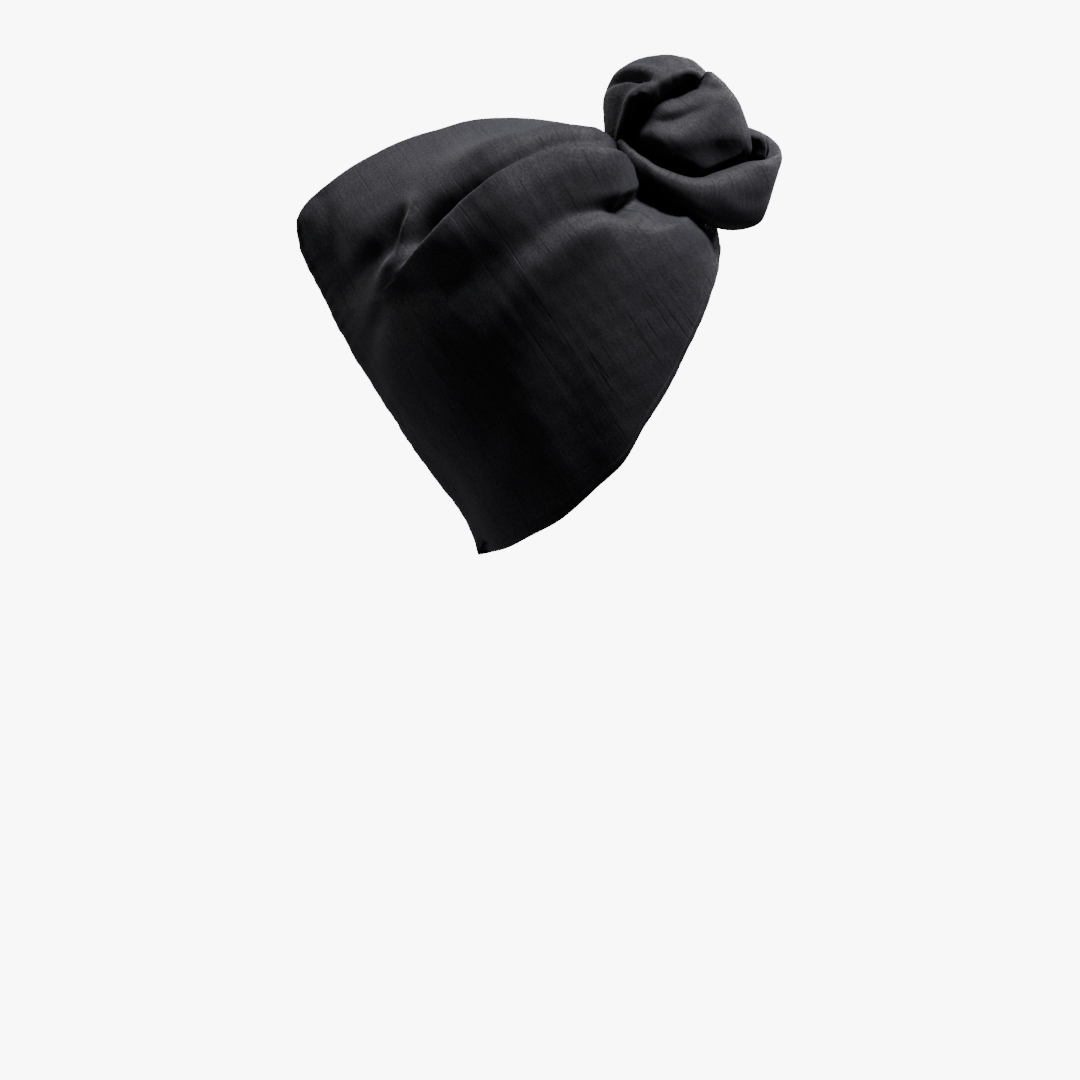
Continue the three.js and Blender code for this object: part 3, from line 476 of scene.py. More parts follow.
# Outlines of the side view and the head's reach from its centre, as shares of the length and the height
RIDGE = table(
    "x z",
    (0.217, -0.050), (0.142, -0.018), (0.081, -0.003), (0.019, 0.012), (-0.052, 0.020), (-0.123, 0.021),
    (-0.194, 0.014), (-0.266, -0.003), (-0.337, -0.024), (-0.408, -0.054), (-0.479, -0.093),
    (-0.538, -0.133), (-0.578, -0.168), (-0.600, -0.200), (-0.606, -0.228),
)
SEAM = table(
    "x z",
    (-0.606, -0.228), (-0.603, -0.260), (-0.593, -0.295), (-0.571, -0.341), (-0.543, -0.394),
    (-0.503, -0.472), (-0.465, -0.536), (-0.420, -0.605), (-0.375, -0.674), (-0.318, -0.757),
    (-0.256, -0.838), (-0.213, -0.895), (-0.189, -0.940), (-0.175, -0.985),
)
HEM = table(
    "x z",
    (-0.175, -0.985), (-0.106, -0.968), (-0.053, -0.942), (0.014, -0.908), (0.058, -0.874),
    (0.110, -0.827), (0.163, -0.779), (0.208, -0.704), (0.231, -0.669), (0.263, -0.620),
    (0.291, -0.566), (0.310, -0.526), (0.338, -0.472), (0.368, -0.402), (0.384, -0.354),
    (0.397, -0.301),
)
BROW = table(
    "x z",
    (0.397, -0.301), (0.397, -0.272), (0.391, -0.232), (0.377, -0.193), (0.350, -0.160),
    (0.319, -0.135),
)
HEAD_REACH = table(
    "degrees reach",
    (0, 0.399), (15, 0.398), (45, 0.396), (90, 0.398), (135, 0.425), (180, 0.453), (210, 0.462),
    (228, 0.463), (240, 0.486), (247, 0.521), (253, 0.592), (264, 0.657), (271, 0.716), (283, 0.738),
    (291, 0.757), (309, 0.615), (328, 0.472), (347, 0.414), (360, 0.399),
)

# Seeds of the ripples on each side of the bag
SIDE_SEEDS = {Side.RIGHT: 11, Side.LEFT: 47}
# Levels of the throat's two rings above the bag, as shares of the throat's height
THROAT_LEVELS = np.array([0.5, 1.0])[:, None, None]
# Even shares, and where they lie along a rib from the throat and along the seam from the corner
RING_SPACING = table("even share", (0, 0), (0.13, 0.07), (0.38, 0.42), (0.84, 0.87), (1, 1))
SEAM_SPACING = table("even share", (0, 0), (0.10, 0.05), (0.74, 0.38), (1, 1))

# Folds of the bag's side: places as shares of its length and height, rise and spreads in millimetres
LARGE_PLEAT = fold_path(
    (0.203, -0.117, 6.4, 8.0, 9.9), (0.148, -0.106, 8.1, 9.0, 12.8), (0.099, -0.102, 8.5, 9.0, 16.0),
    (0.034, -0.101, 8.5, 8.0, 19.2), (-0.015, -0.108, 8.5, 7.0, 22.4), (-0.066, -0.128, 8.5, 6.7, 25.6),
    (-0.121, -0.161, 8.9, 6.4, 28.8), (-0.193, -0.213, 9.4, 6.1, 30.4),
    (-0.251, -0.274, 9.8, 6.1, 25.6), (-0.303, -0.322, 8.2, 6.6, 17.0),
    (-0.350, -0.358, 2.0, 6.5, 10.0),
)
SOFT_FOLDS = [
    fold_path(  # valley above the large pleat, a deep pocket at its far end
        (0.111, -0.049, -2.0, 4.0, 4.0), (0.034, -0.049, -3.0, 4.0, 4.0),
        (-0.015, -0.060, -4.0, 5.0, 4.5), (-0.075, -0.090, -5.0, 6.1, 5.0),
        (-0.131, -0.123, -6.5, 7.0, 5.4), (-0.207, -0.178, -9.5, 9.0, 7.0),
        (-0.261, -0.225, -12.5, 12.0, 8.0), (-0.309, -0.265, -12.0, 11.0, 9.0),
        (-0.358, -0.297, -5.1, 8.0, 8.0),
    ),
    fold_path(  # pleat along the crown
        (0.170, -0.058, 2.6, 4.5, 3.2), (0.131, -0.044, 3.2, 5.0, 3.2), (0.096, -0.028, 3.5, 6.1, 4.0),
        (0.007, -0.023, 3.5, 6.1, 5.0), (-0.052, -0.037, 3.0, 7.0, 6.1),
        (-0.122, -0.055, 3.0, 8.0, 7.0), (-0.204, -0.082, 2.5, 9.0, 8.0),
        (-0.286, -0.114, 1.0, 10.0, 9.0),
    ),
    fold_path(  # valley under the rounded end of the large pleat
        (0.242, -0.143, -8.0, 5.0, 8.0), (0.199, -0.171, -12.0, 4.0, 9.0),
        (0.160, -0.195, -11.0, 4.2, 10.5), (0.112, -0.211, -5.0, 6.0, 12.0),
        (0.040, -0.238, -2.1, 9.6, 12.0), (-0.050, -0.310, -1.7, 14.4, 9.6),
    ),
    fold_path(  # ridge down the cheek
        (0.150, -0.222, 2.0, 6.0, 8.0), (0.124, -0.232, 3.6, 7.0, 12.0),
        (0.092, -0.246, 4.6, 8.0, 14.4), (0.032, -0.275, 5.1, 9.6, 17.6),
        (-0.042, -0.340, 5.1, 10.4, 20.8), (-0.091, -0.420, 3.8, 12.0, 20.8),
        (-0.141, -0.520, 1.3, 12.0, 19.2),
    ),
    fold_path(  # rear crest that drops from the crown to the pleat's tip
        (-0.318, -0.190, 2.2, 7.0, 6.0), (-0.334, -0.235, 6.0, 6.0, 6.0),
        (-0.350, -0.283, 7.0, 6.0, 7.0), (-0.378, -0.340, 6.0, 7.0, 9.0),
        (-0.403, -0.400, 3.8, 9.0, 11.0), (-0.423, -0.460, 0.8, 9.0, 12.0),
    ),
    fold_path(  # dent behind the rear crest
        (-0.346, -0.212, -3.5, 6.0, 5.0), (-0.375, -0.252, -6.0, 8.0, 5.5),
        (-0.412, -0.305, -5.0, 9.0, 8.0), (-0.450, -0.345, -3.4, 10.0, 10.0),
        (-0.480, -0.377, -1.7, 10.0, 10.0),
    ),
    fold_path(  # hollow under the pleat's tip
        (-0.362, -0.398, -2.0, 8.0, 16.0), (-0.306, -0.392, -3.0, 10.0, 20.0),
        (-0.248, -0.376, -2.6, 11.0, 22.0), (-0.170, -0.344, -1.2, 10.0, 16.0),
    ),
    fold_path(  # hollow along the upper back
        (-0.539, -0.169, -1.5, 8.0, 8.0), (-0.529, -0.235, -3.5, 9.0, 9.0),
        (-0.506, -0.310, -3.0, 10.0, 10.0), (-0.473, -0.382, -1.0, 10.0, 10.0),
    ),
    fold_path(  # hollow round the throat, under the front band
        (0.232, -0.132, -2.5, 6.0, 7.0), (0.252, -0.155, -4.4, 7.5, 8.0),
        (0.275, -0.182, -4.8, 8.0, 9.0), (0.303, -0.208, -3.8, 8.5, 9.5),
        (0.335, -0.230, -1.6, 9.0, 10.0),
    ),
    fold_path(  # short pucker that the tip draws from the notch to the seam
        (-0.436, -0.545, -0.5, 4.0, 5.0), (-0.410, -0.470, -1.8, 4.5, 6.0),
        (-0.392, -0.425, -1.2, 5.0, 6.0),
    ),
]


@dataclass
class CrownBag:
    """Hollow bag of cloth over the crown, closed along the back seam and open round the face and neck.

    Sizes are in millimetres. Its side view is a fan of ribs from the throat to the seam and the open edge.
    """

    length: float = BAG_LENGTH
    height: float = BAG_HEIGHT
    half_width: float = 78.0
    wall: float = 1.5
    squareness: float = 2.5
    left_share: float = 0.85
    left_shift: float = 0.022
    pleat_crisp: float = 0.62
    fold_crisp: float = 0.9
    lip_share: float = 0.24
    throat_radius: float = 17.0
    throat_height: float = 5.0
    throat_pleats: int = 22
    throat_narrowing: float = 2.2
    throat_ribbing: float = 0.35
    gather_depth: float = 1.0
    right_gathers: float = 0.12
    wave_depth: float = 0.42
    wave_length: float = 46.0
    crumple_depth: float = 0.12
    crumple_length: float = 13.0
    step_half: float = 0.8
    hem_width: float = 7.0
    hem_rise: float = 0.40
    hem_pucker: float = 0.14
    allowance_width: float = 4.8
    allowance_rise: float = 0.75
    groove_width: float = 1.3
    groove_depth: float = 0.9
    pucker_length: float = 11.0
    pucker_reach: float = 9.0
    pucker_depth: float = 0.34
    nape_calm: tuple[float, float] = (3.0, 16.0)
    seam_ribs: int = 146
    hem_ribs: int = 78
    rings: int = 100
    tilt: float = KNOT_TILT
    head_centre: tuple[float, float] = (0.009, -0.398)
    throat_place: tuple[float, float] = (0.268, -0.118)
    weft_apex: tuple[float, float] = (-826.0, 1153.0)
    weft_spread: float = 1450.0
    easing: tuple[float, float, float] = (72.0, -39.0, -52.0)
    ease_reach: float = 12.0
    ease_strength: float = 0.8
    ease_rounds: int = 60

    def __post_init__(self) -> None:
        """Works out the outlines that every other method reads."""
        self.size = (self.length, self.height)
        self.fore = np.array([np.cos(self.tilt), 0, -np.sin(self.tilt)])
        self.axis = np.array([np.sin(self.tilt), 0, np.cos(self.tilt)])
        self.throat = np.array([self.throat_place[0] * self.length, 0, self.throat_place[1] * self.height])
        outlines = {"ridge": RIDGE, "seam": SEAM, "hem": HEM, "brow": BROW}
        self.lines = {name: self.curve(rows) for name, rows in outlines.items()}
        rim = np.concatenate([self.lines[name] for name in ("ridge", "seam", "brow")])
        degrees, reach = self.polar(rim[:, 0], rim[:, 1])
        order = np.argsort(degrees)
        self.rim_degrees, self.rim_reach = degrees[order], reach[order]
        turn = np.arange(-180, 541)
        head = np.interp(turn % 360, HEAD_REACH["degrees"], HEAD_REACH["reach"])
        side = 15  # degrees to each side over which the head's outline is rounded
        bell = np.exp(-((np.arange(-side, side + 1) / 6.0) ** 2))
        self.head_degrees = turn[side:-side]
        self.head_reach = np.convolve(head, bell / bell.sum(), "valid")

    def curve(self, rows: Table) -> Array:
        """Points of an outline at even places between its rows."""
        place = places_along(rows, 120)
        return np.stack([along(rows["x"], place), along(rows["z"], place)], axis=-1)

    def polar(self, x: Array, z: Array) -> tuple[Array, Array]:
        """Direction in degrees and reach of places from the head's centre."""
        dx, dz = x - self.head_centre[0], z - self.head_centre[1]
        return np.degrees(np.arctan2(dz, dx)) % 360, np.hypot(dx, dz)

    def taut_depth(self, x: Array, z: Array) -> Array:
        """Depth of cloth drawn taut over the head, as a share of the half width.

        Along each direction the head's section is (r / head)^n + depth^n = 1. Beyond the tangent point, at
        head (head / edge)^(1 / (n - 1)), the cloth runs straight to the outline, where its halves meet.

        Args:
            x: Places in the side view as shares of the length.
            z: Places in the side view as shares of the height.

        Returns:
            Depths from 0 at the outline to 1 at the head's centre.
        """
        n = self.squareness
        degrees, reach = self.polar(x, z)
        head = np.interp(degrees, self.head_degrees, self.head_reach)
        closed = (degrees >= self.rim_degrees[0]) & (degrees <= self.rim_degrees[-1])
        edge = np.where(closed, np.interp(degrees, self.rim_degrees, self.rim_reach), head)
        head = np.minimum(head, edge)
        tangent = head * (head / edge) ** (1 / (n - 1))

        def round_part(r: Array) -> Array:
            """Depth of the head's own section at a reach."""
            return np.maximum(1 - (r / head) ** n, 0) ** (1 / n)

        straight = round_part(tangent) * np.maximum(edge - reach, 0) / np.maximum(edge - tangent, 1e-6)
        return np.where(reach <= tangent, round_part(reach), straight)

    def by_length(self, name: str, share: Array, over_head: bool = False) -> Array:
        """Places on an outline at shares of its length, in millimetres.

        Args:
            name: Name of the outline.
            share: Shares from 0 to 1.
            over_head: True where the length is measured over the head instead of in the side view.

        Returns:
            The x and z of each place.
        """
        line = self.lines[name]
        steps = np.diff(line, axis=0) * self.size
        depth = np.diff(self.taut_depth(line[:, 0], line[:, 1])) * self.half_width * over_head
        lengths = np.concatenate([[0], np.cumsum(np.hypot(np.hypot(steps[:, 0], steps[:, 1]), depth))])
        target = share * lengths[-1]
        return np.stack([np.interp(target, lengths, line[:, k] * self.size[k]) for k in (0, 1)], axis=-1)

    def rib_places(self) -> Array:
        """Places of the ribs: 0 at the corner, 1 at the nape and 2 at the brow, closer at the pleats."""
        seam = np.interp(np.linspace(0, 1, self.seam_ribs + 1), SEAM_SPACING["even"], SEAM_SPACING["share"])
        return np.concatenate([seam, 1 + np.arange(1, self.hem_ribs + 1) / self.hem_ribs])

    def half(self) -> tuple[Array, Array, Array, Array]:
        """Taut cloth of the right half before its folds.

        A rib runs straight in the side view from the throat's ring to the seam or the open edge, and bows
        to the crown's or the brow's outline near the middle. Its depth is the taut depth there.

        Returns:
            The points in millimetres, the rib places, the ring shares and the side view's shares.
        """
        place = self.rib_places()[:, None]
        share = np.interp(np.linspace(0, 1, self.rings + 1), RING_SPACING["even"], RING_SPACING["share"])
        place, share = np.broadcast_arrays(place, share[None])
        angle = np.pi * place / 2
        start = self.throat - self.throat_radius * np.cos(angle)[..., None] * self.fore
        end = np.where(
            (place <= 1)[..., None],
            self.by_length("seam", np.minimum(place, 1)),
            self.by_length("hem", np.maximum(place - 1, 0), True),
        )
        flat = start[..., [0, 2]] + (end - start[..., [0, 2]]) * share[..., None]
        settle = smooth(0, 0.08, share)
        top = (self.throat - self.throat_radius * self.fore)[[0, 2]]
        front = (self.throat + self.throat_radius * self.fore)[[0, 2]]
        corner, brow = self.by_length("ridge", np.array(1.0)), self.by_length("brow", np.array(0.0))
        ridge_bow = self.by_length("ridge", share) - (top + (corner - top) * share[..., None])
        brow_bow = self.by_length("brow", 1 - share) - (front + (brow - front) * share[..., None])
        flat = flat + ridge_bow * (settle * np.maximum(1 - place, 0) ** 1.5)[..., None]
        flat = flat + brow_bow * (settle * np.maximum(place - 1, 0) ** 3)[..., None]
        x, z = flat[..., 0] / self.length, flat[..., 1] / self.height
        edge = (place == 0) | (place == 2) | ((share == 1) & (place <= 1))
        cloth = np.where(edge, 0, self.taut_depth(x, z) * self.half_width)
        ring = self.throat_radius * np.sin(angle) * ~(edge & (share > 0))
        leave = smooth(0, 0.16, share)
        depth = ring * (1 - leave) + cloth * leave
        points = np.stack([flat[..., 0], -depth, flat[..., 1]], axis=-1)
        return points, place, share, np.stack([x, z], axis=-1)

    def fold_shift(self, flat: Array, place: Array, share: Array, side: Side) -> tuple[Array, Array]:
        """Height of all folds on one side and the shift that tips the large pleat over its valley.

        Args:
            flat: Side view's shares.
            place: Rib places.
            share: Ring shares.
            side: Which side of the wearer.

        Returns:
            Heights along the normals and shifts in the side view, in millimetres.
        """
        x, z = flat[..., 0], flat[..., 1] + (self.left_shift if side is Side.LEFT else 0)
        height, lip_x, lip_z = fold_height(LARGE_PLEAT, x, z, self.size, self.pleat_crisp)
        for path in SOFT_FOLDS:
            height = height + fold_height(path, x, z, self.size, self.fold_crisp)[0]
        open_edge = smooth(0.9, 1, share) * (place > 1)
        settle = smooth(0.03, 0.14, share) * (1 - open_edge)
        amount = settle * (self.left_share if side is Side.LEFT else 1)
        return height * amount, np.stack([lip_x, lip_z], axis=-1) * self.lip_share * amount[..., None]

    def surface_detail(self, flat: Array, place: Array, share: Array, side: Side) -> Array:
        """Small relief in millimetres: gathers from the throat, soft waves, the hem and the back seam.

        Gathers are a cosine of the rib's angle that fades out by a third of the rib. The hem and the seam
        allowance are raised steps beside their edges, and the seam puckers by short ripples along it. Both
        fade out round the nape, where they meet.

        Args:
            flat: Side view's shares.
            place: Rib places.
            share: Ring shares.
            side: Which side of the wearer.

        Returns:
            Heights along the normals.
        """
        x, z = flat[..., 0] * self.length, flat[..., 1] * self.height
        seed = SIDE_SEEDS[side]
        angle = np.pi * place / 2
        uneven = 0.5 + 0.5 * ripples(angle, share * 0, seed + 3, 0.9)
        gather = np.cos(self.throat_pleats * angle + 1.4 * ripples(angle, share * 2, seed + 4, 1.1))
        depth = self.gather_depth * (self.right_gathers if side is Side.RIGHT else 1.0)
        height = depth * gather * uneven * smooth(0, 0.05, share) * (1 - smooth(0.06, 0.30, share))
        fades = smooth(0.03, 0.2, share)
        waves = self.wave_depth * ripples(x, z, seed, self.wave_length) * (1 - 0.6 * smooth(0.9, 1, share))
        crumples = self.crumple_depth * ripples(x, z, seed + 1, self.crumple_length)
        height = height + (waves + crumples) * fades
        end = np.stack([flat[:, -1:, 0] * self.length, flat[:, -1:, 1] * self.height], axis=-1)
        from_edge = np.hypot(x - end[..., 0], z - end[..., 1])
        hem, strip = (
            1 - smooth(width - self.step_half, width + self.step_half, from_edge)
            for width in (self.hem_width, self.allowance_width)
        )
        groove = np.exp(-((from_edge / self.groove_width) ** 2))
        run = end[..., 0] * 0.5 - end[..., 1]
        pucker = ripples(run, from_edge * 0.25, seed + 2, self.pucker_length)
        pucker = pucker * np.exp(-from_edge / self.pucker_reach)
        open_edge = np.clip((place - 1) * 30, 0, 1)
        nape = SEAM["x"][-1] * self.length, SEAM["z"][-1] * self.height
        calm = smooth(*self.nape_calm, np.hypot(x - nape[0], z - nape[1]))
        seam = self.allowance_rise * strip - self.groove_depth * groove + self.pucker_depth * pucker
        edging = (self.hem_rise * hem + self.hem_pucker * pucker) * fades
        return height + (seam * (1 - open_edge) + edging * open_edge) * calm

    def weave_place(self, flat: Array, side: Side) -> Array:
        """Place of the cloth's points on the strip: across the weft lines, and along them over the head.

        The weft lines fan from a far apex. The length along a line adds the steps hypot(reach, depth) from
        where the line meets the outline, so that the weave isn't drawn out where the cloth turns away.

        Args:
            flat: Side view's shares.
            side: Which side of the wearer.

        Returns:
            Places in millimetres.
        """
        apex = np.array(self.weft_apex)
        rim = np.concatenate([self.lines[name] for name in ("ridge", "brow")]) * self.size - apex
        aim = flat * self.size - apex
        angle, reach = np.arctan2(aim[..., 0], -aim[..., 1]), np.hypot(aim[..., 0], aim[..., 1])
        rim_angle, rim_reach = np.arctan2(rim[:, 0], -rim[:, 1]), np.hypot(rim[:, 0], rim[:, 1])
        order = np.argsort(rim_angle)
        start = np.interp(angle, rim_angle[order], rim_reach[order])
        r = start + (reach - start) * np.linspace(0, 1, 41)[:, None, None]
        x, z = (apex[0] + r * np.sin(angle)) / self.length, (apex[1] - r * np.cos(angle)) / self.height
        depth = self.taut_depth(x, z) * self.half_width
        total = np.hypot(np.diff(r, axis=0), np.diff(depth, axis=0)).sum(0)
        return np.stack([-side.value * total, angle * self.weft_spread], axis=-1)

    def numbers(self, place: Array) -> tuple[Array, Array, Array]:
        """Vertex numbers of the two halves, which share the middle plane's points.

        Args:
            place: Rib places by rib and ring.

        Returns:
            The right half's numbers, the left half's and which points are shared.
        """
        right = np.arange(place.size).reshape(place.shape)
        shared = np.zeros(place.shape, dtype=bool)
        shared[0] = shared[-1] = True
        shared[:, -1] |= place[:, -1] <= 1
        left = right.copy()
        left[~shared] = right.size + np.arange((~shared).sum())
        return right, left, shared

    def raised(self, shell: Array, normals: Array, shared: Array) -> Array:
        """Moves the taut cloth by its folds and its small relief, along the normals and in the side view.

        Args:
            shell: Points of the taut cloth, the right half first.
            normals: Their normals.
            shared: Which points of the right half the left half shares.

        Returns:
            The moved points.
        """
        _, place, share, flat = self.half()
        high, lip = {}, {}
        for side in Side:
            high[side], lip[side] = self.fold_shift(flat, place, share, side)
            high[side] = high[side] + self.surface_detail(flat, place, share, side)
        height = np.where(shared, (high[Side.RIGHT] + high[Side.LEFT]) / 2, high[Side.RIGHT])
        heights = np.concatenate([height.reshape(-1), high[Side.LEFT][~shared]])
        shift = np.where(shared[..., None], 0, lip[Side.RIGHT])
        face = shell + normals * heights[:, None]
        face[:, [0, 2]] += np.concatenate([shift.reshape(-1, 2), lip[Side.LEFT][~shared]])
        return face

    def cloth(self) -> Cloth:
        """Builds the outer face of both halves, the inner face a wall inside it and the edges between them.

        Returns:
            The bag's points, faces and weave places.
        """
        points, place, _, flat = self.half()
        right, left, shared = self.numbers(place)
        shell = np.concatenate([points.reshape(-1, 3), (points * [1, -1, 1])[~shared]])
        outer = np.concatenate([grid_faces(right), grid_faces(left)[:, ::-1]])
        normals = point_normals(shell, outer)
        face = self.raised(shell, normals, shared)
        face[right] = self.eased(face[right])

        wrap = np.concatenate([right[:, 0], left[-2:0:-1, 0]])
        throat = self.throat_rings(face[wrap])
        made = Cloth()
        made.add_points(face)
        upper = made.add_points(throat)
        stub_faces = grid_faces(np.concatenate([wrap[None], upper]), around=True)
        outside = np.concatenate([face, throat.reshape(-1, 3)])
        around_lip = point_normals(outside, np.concatenate([outer, stub_faces]))[wrap]
        thick = np.concatenate([normals, np.tile(around_lip, (len(upper), 1))])
        # the wall is thinner near the middle plane, so that the inner faces of the two halves stay apart
        depth = np.abs(outside[:, 1]) / np.maximum(np.abs(thick[:, 1]), 0.05)
        wall = np.minimum(self.wall, 0.7 * depth + 0.3)
        made.add_points(outside - thick * wall[:, None])
        count = len(outside)

        places_right, places_left = np.zeros((count, 2)), np.zeros((count, 2))
        places_right[right.reshape(-1)] = self.weave_place(flat, Side.RIGHT).reshape(-1, 2)
        places_left[left.reshape(-1)] = self.weave_place(flat, Side.LEFT).reshape(-1, 2)
        on_right = (np.arange(len(wrap)) < len(right))[:, None]
        around = np.where(on_right, places_right[wrap], places_left[wrap])
        stub_weave = around[None] - THROAT_LEVELS * self.throat_height * [1, 0]
        places_right[upper.reshape(-1)] = stub_weave.reshape(-1, 2)
        places_right[wrap] = around

        half = len(outer) // 2
        for faces, places in (
            (outer[:half], places_right),
            (outer[half:], places_left),
            (stub_faces, places_right),
        ):
            made.add_faces(faces, places[faces])
            made.add_faces(faces[:, ::-1] + count, places[faces[:, ::-1]])
        nape = self.seam_ribs
        rim = np.concatenate([right[nape:, -1], left[-2:nape:-1, -1], right[nape : nape + 1, -1]])
        lip = np.concatenate([upper[-1], upper[-1, :1]])
        for edge in ((rim + count, rim), (lip, lip + count)):
            strip = grid_faces(np.stack(edge))
            made.add_faces(strip, places_right[strip % count])
        return made

    def eased(self, grid: Array) -> Array:
        """Eases the creases out of the cloth where the hollow round the throat meets the open edge.

        Args:
            grid: Points of the right half by rib and ring.

        Returns:
            The eased points.
        """
        away = np.linalg.norm(grid - np.array(self.easing), axis=-1)
        weight = self.ease_strength * (1 - smooth(0, self.ease_reach, away))[1:-1, 1:-1, None]
        for _ in range(self.ease_rounds):
            around = (grid[:-2, 1:-1] + grid[2:, 1:-1] + grid[1:-1, :-2] + grid[1:-1, 2:]) / 4
            grid[1:-1, 1:-1] += weight * (around - grid[1:-1, 1:-1])
        return grid

    def throat_rings(self, base: Array) -> Array:
        """Rings of the gathered throat: the bag's edge moved up the knot's axis, drawn in and pleated."""
        out = unit(base - self.throat)
        turn = np.linspace(0, 2 * np.pi, len(base), endpoint=False)[None, :, None]
        inwards = self.throat_ribbing * np.cos(self.throat_pleats / 2 * turn) - self.throat_narrowing
        return base[None] + THROAT_LEVELS * (self.throat_height * self.axis + inwards * out)

    def build(self, silk: bpy.types.Material) -> bpy.types.Object:
        """Makes the bag's piece, attaches it to the root and hides the cap's CAD part.

        Args:
            silk: The cloth's finish.

        Returns:
            The piece.
        """
        piece = self.cloth().make("crown_bag", silk)
        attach(piece, "root")
        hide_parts("cap")
        return piece


# --- the knot ------------------------------------------------------------------------------------------


@dataclass(frozen=True)
class KnotFrame:
    """Frame of the knot: u forwards along its foot, y to the wearer's left and h up its axis."""

    centre: tuple[float, float, float] = (0.267 * BAG_LENGTH, 0.0, -0.126 * BAG_HEIGHT)
    tilt: float = KNOT_TILT

    def turn(self) -> Array:
        """Rows of the matrix are the directions of u, y and h."""
        c, s = np.cos(self.tilt), np.sin(self.tilt)
        return np.array([[c, 0, -s], [0, 1, 0], [s, 0, c]])

    def direction(self, parts: Array) -> Array:
        """Directions in the object's frame from their parts along u, y and h."""
        return parts @ self.turn()

    def point(self, places: Array) -> Array:
        """Points in the object's frame from places along u, y and h in millimetres."""
        return np.array(self.centre) + self.direction(places)

    def place(self, points: Array) -> Array:
        """Places along u, y and h of points in the object's frame."""
        return (points - np.array(self.centre)) @ self.turn().T


KNOT = KnotFrame()

BACK_LOOP = table(
    "u y h wide crest rim",
    (-30.0, 0.0, -6.3, 18.7, 5.0, 2.0), (-40.2, 0.0, 6.3, 26.5, 6.8, -1.0),
    (-49.2, 0.0, 17.0, 31.5, 7.2, -5.0), (-51.6, 0.0, 27.7, 33.5, 7.2, -8.0),
    (-47.4, 0.0, 39.0, 33.0, 7.2, -7.5), (-39.0, 0.0, 48.5, 29.5, 6.8, -4.5),
    (-30.0, 0.0, 54.2, 23.0, 5.6, -1.0), (-22.2, 0.0, 55.4, 16.0, 4.0, 0.0),
)
# Relief of the loop: lengths along its path and inwards from its near rim, in millimetres
LOOP_CREASE = fold_path(
    (34.0, 52.0, -0.4, 3.0, 3.0), (37.0, 46.0, -1.0, 2.6, 3.2), (43.0, 38.0, -1.1, 2.4, 3.4),
    (50.0, 31.0, -0.8, 2.4, 3.4), (56.0, 26.0, -0.2, 3.0, 3.0),
)
LOOP_ROLL = fold_path(
    (40.0, 54.0, 0.3, 5.0, 4.0), (44.0, 48.0, 0.7, 6.0, 3.5), (50.0, 41.0, 0.8, 7.0, 3.5),
    (57.0, 34.0, 0.6, 7.0, 3.5), (64.0, 30.0, 0.1, 5.0, 4.0),
)
# Section of the loop from the edge turned in behind it, round the far side and over the crest, down to the
# near rim, which is rolled: across as a share of the half width, and level, 1 at the crest and 0 at the rim
LOOP_SECTION = table(
    "across level",
    (0.55, -2.30), (0.66, -1.95), (0.80, -1.40), (0.94, -0.70), (0.99, 0.05), (0.86, 0.60),
    (0.50, 0.92), (0.0, 1.0), (-0.38, 0.86), (-0.60, 0.52), (-0.74, 0.18), (-0.83, 0.02),
    (-0.90, -0.02), (-0.96, -0.18), (-0.98, -0.40), (-0.93, -0.64), (-0.82, -0.82), (-0.62, -0.90),
    (-0.40, -0.88),
)

FRONT_BAND = table(
    "u y h wide thick au ay ah",
    (-31.6, -24.0, -2.8, 1.9, 2.4, 0.2, -0.2, 1.0), (-14.8, -33.6, -5.2, 5.4, 4.6, 0.2, -0.3, 1.0),
    (2.0, -36.0, -3.4, 7.4, 6.8, -0.1, -0.3, 1.0), (17.6, -32.2, 1.4, 10.6, 8.6, -0.34, 0.1, 1.0),
    (30.9, -21.0, 11.6, 15.8, 10.8, -0.5, 0.2, 1.0), (38.6, -5.4, 25.4, 17.6, 11.0, -0.45, 0.1, 1.0),
    (35.4, 10.4, 36.6, 15.8, 8.8, -0.2, 0.1, 1.0), (25.8, 23.2, 44.4, 15.6, 8.1, 0.1, 0.3, 1.0),
    (10.2, 31.2, 40.2, 16.6, 8.1, 0.1, 0.4, 1.0), (-10.2, 34.4, 29.6, 16.6, 8.1, 0.1, 0.4, 1.0),
    (-27.6, 31.2, 13.9, 13.5, 7.2, 0.1, 0.3, 1.0), (-36.0, 23.2, 2.5, 9.0, 5.4, 0.1, 0.2, 1.0),
)
# Section of the band from the turned-in lower edge round the outside to the crisp upper edge: across as a
# share of the half width and level as a share of the thickness
BAND_SECTION = table(
    "across level",
    (-0.30, -0.62), (-0.62, -0.60), (-0.86, -0.36), (-0.985, 0.02), (-0.96, 0.40), (-0.80, 0.76),
    (-0.48, 0.94), (-0.10, 0.99), (0.30, 0.96), (0.66, 0.80), (0.90, 0.48), (0.985, 0.16), (0.995, 0.0),
    (0.96, -0.12), (0.80, -0.28), (0.55, -0.40),
)

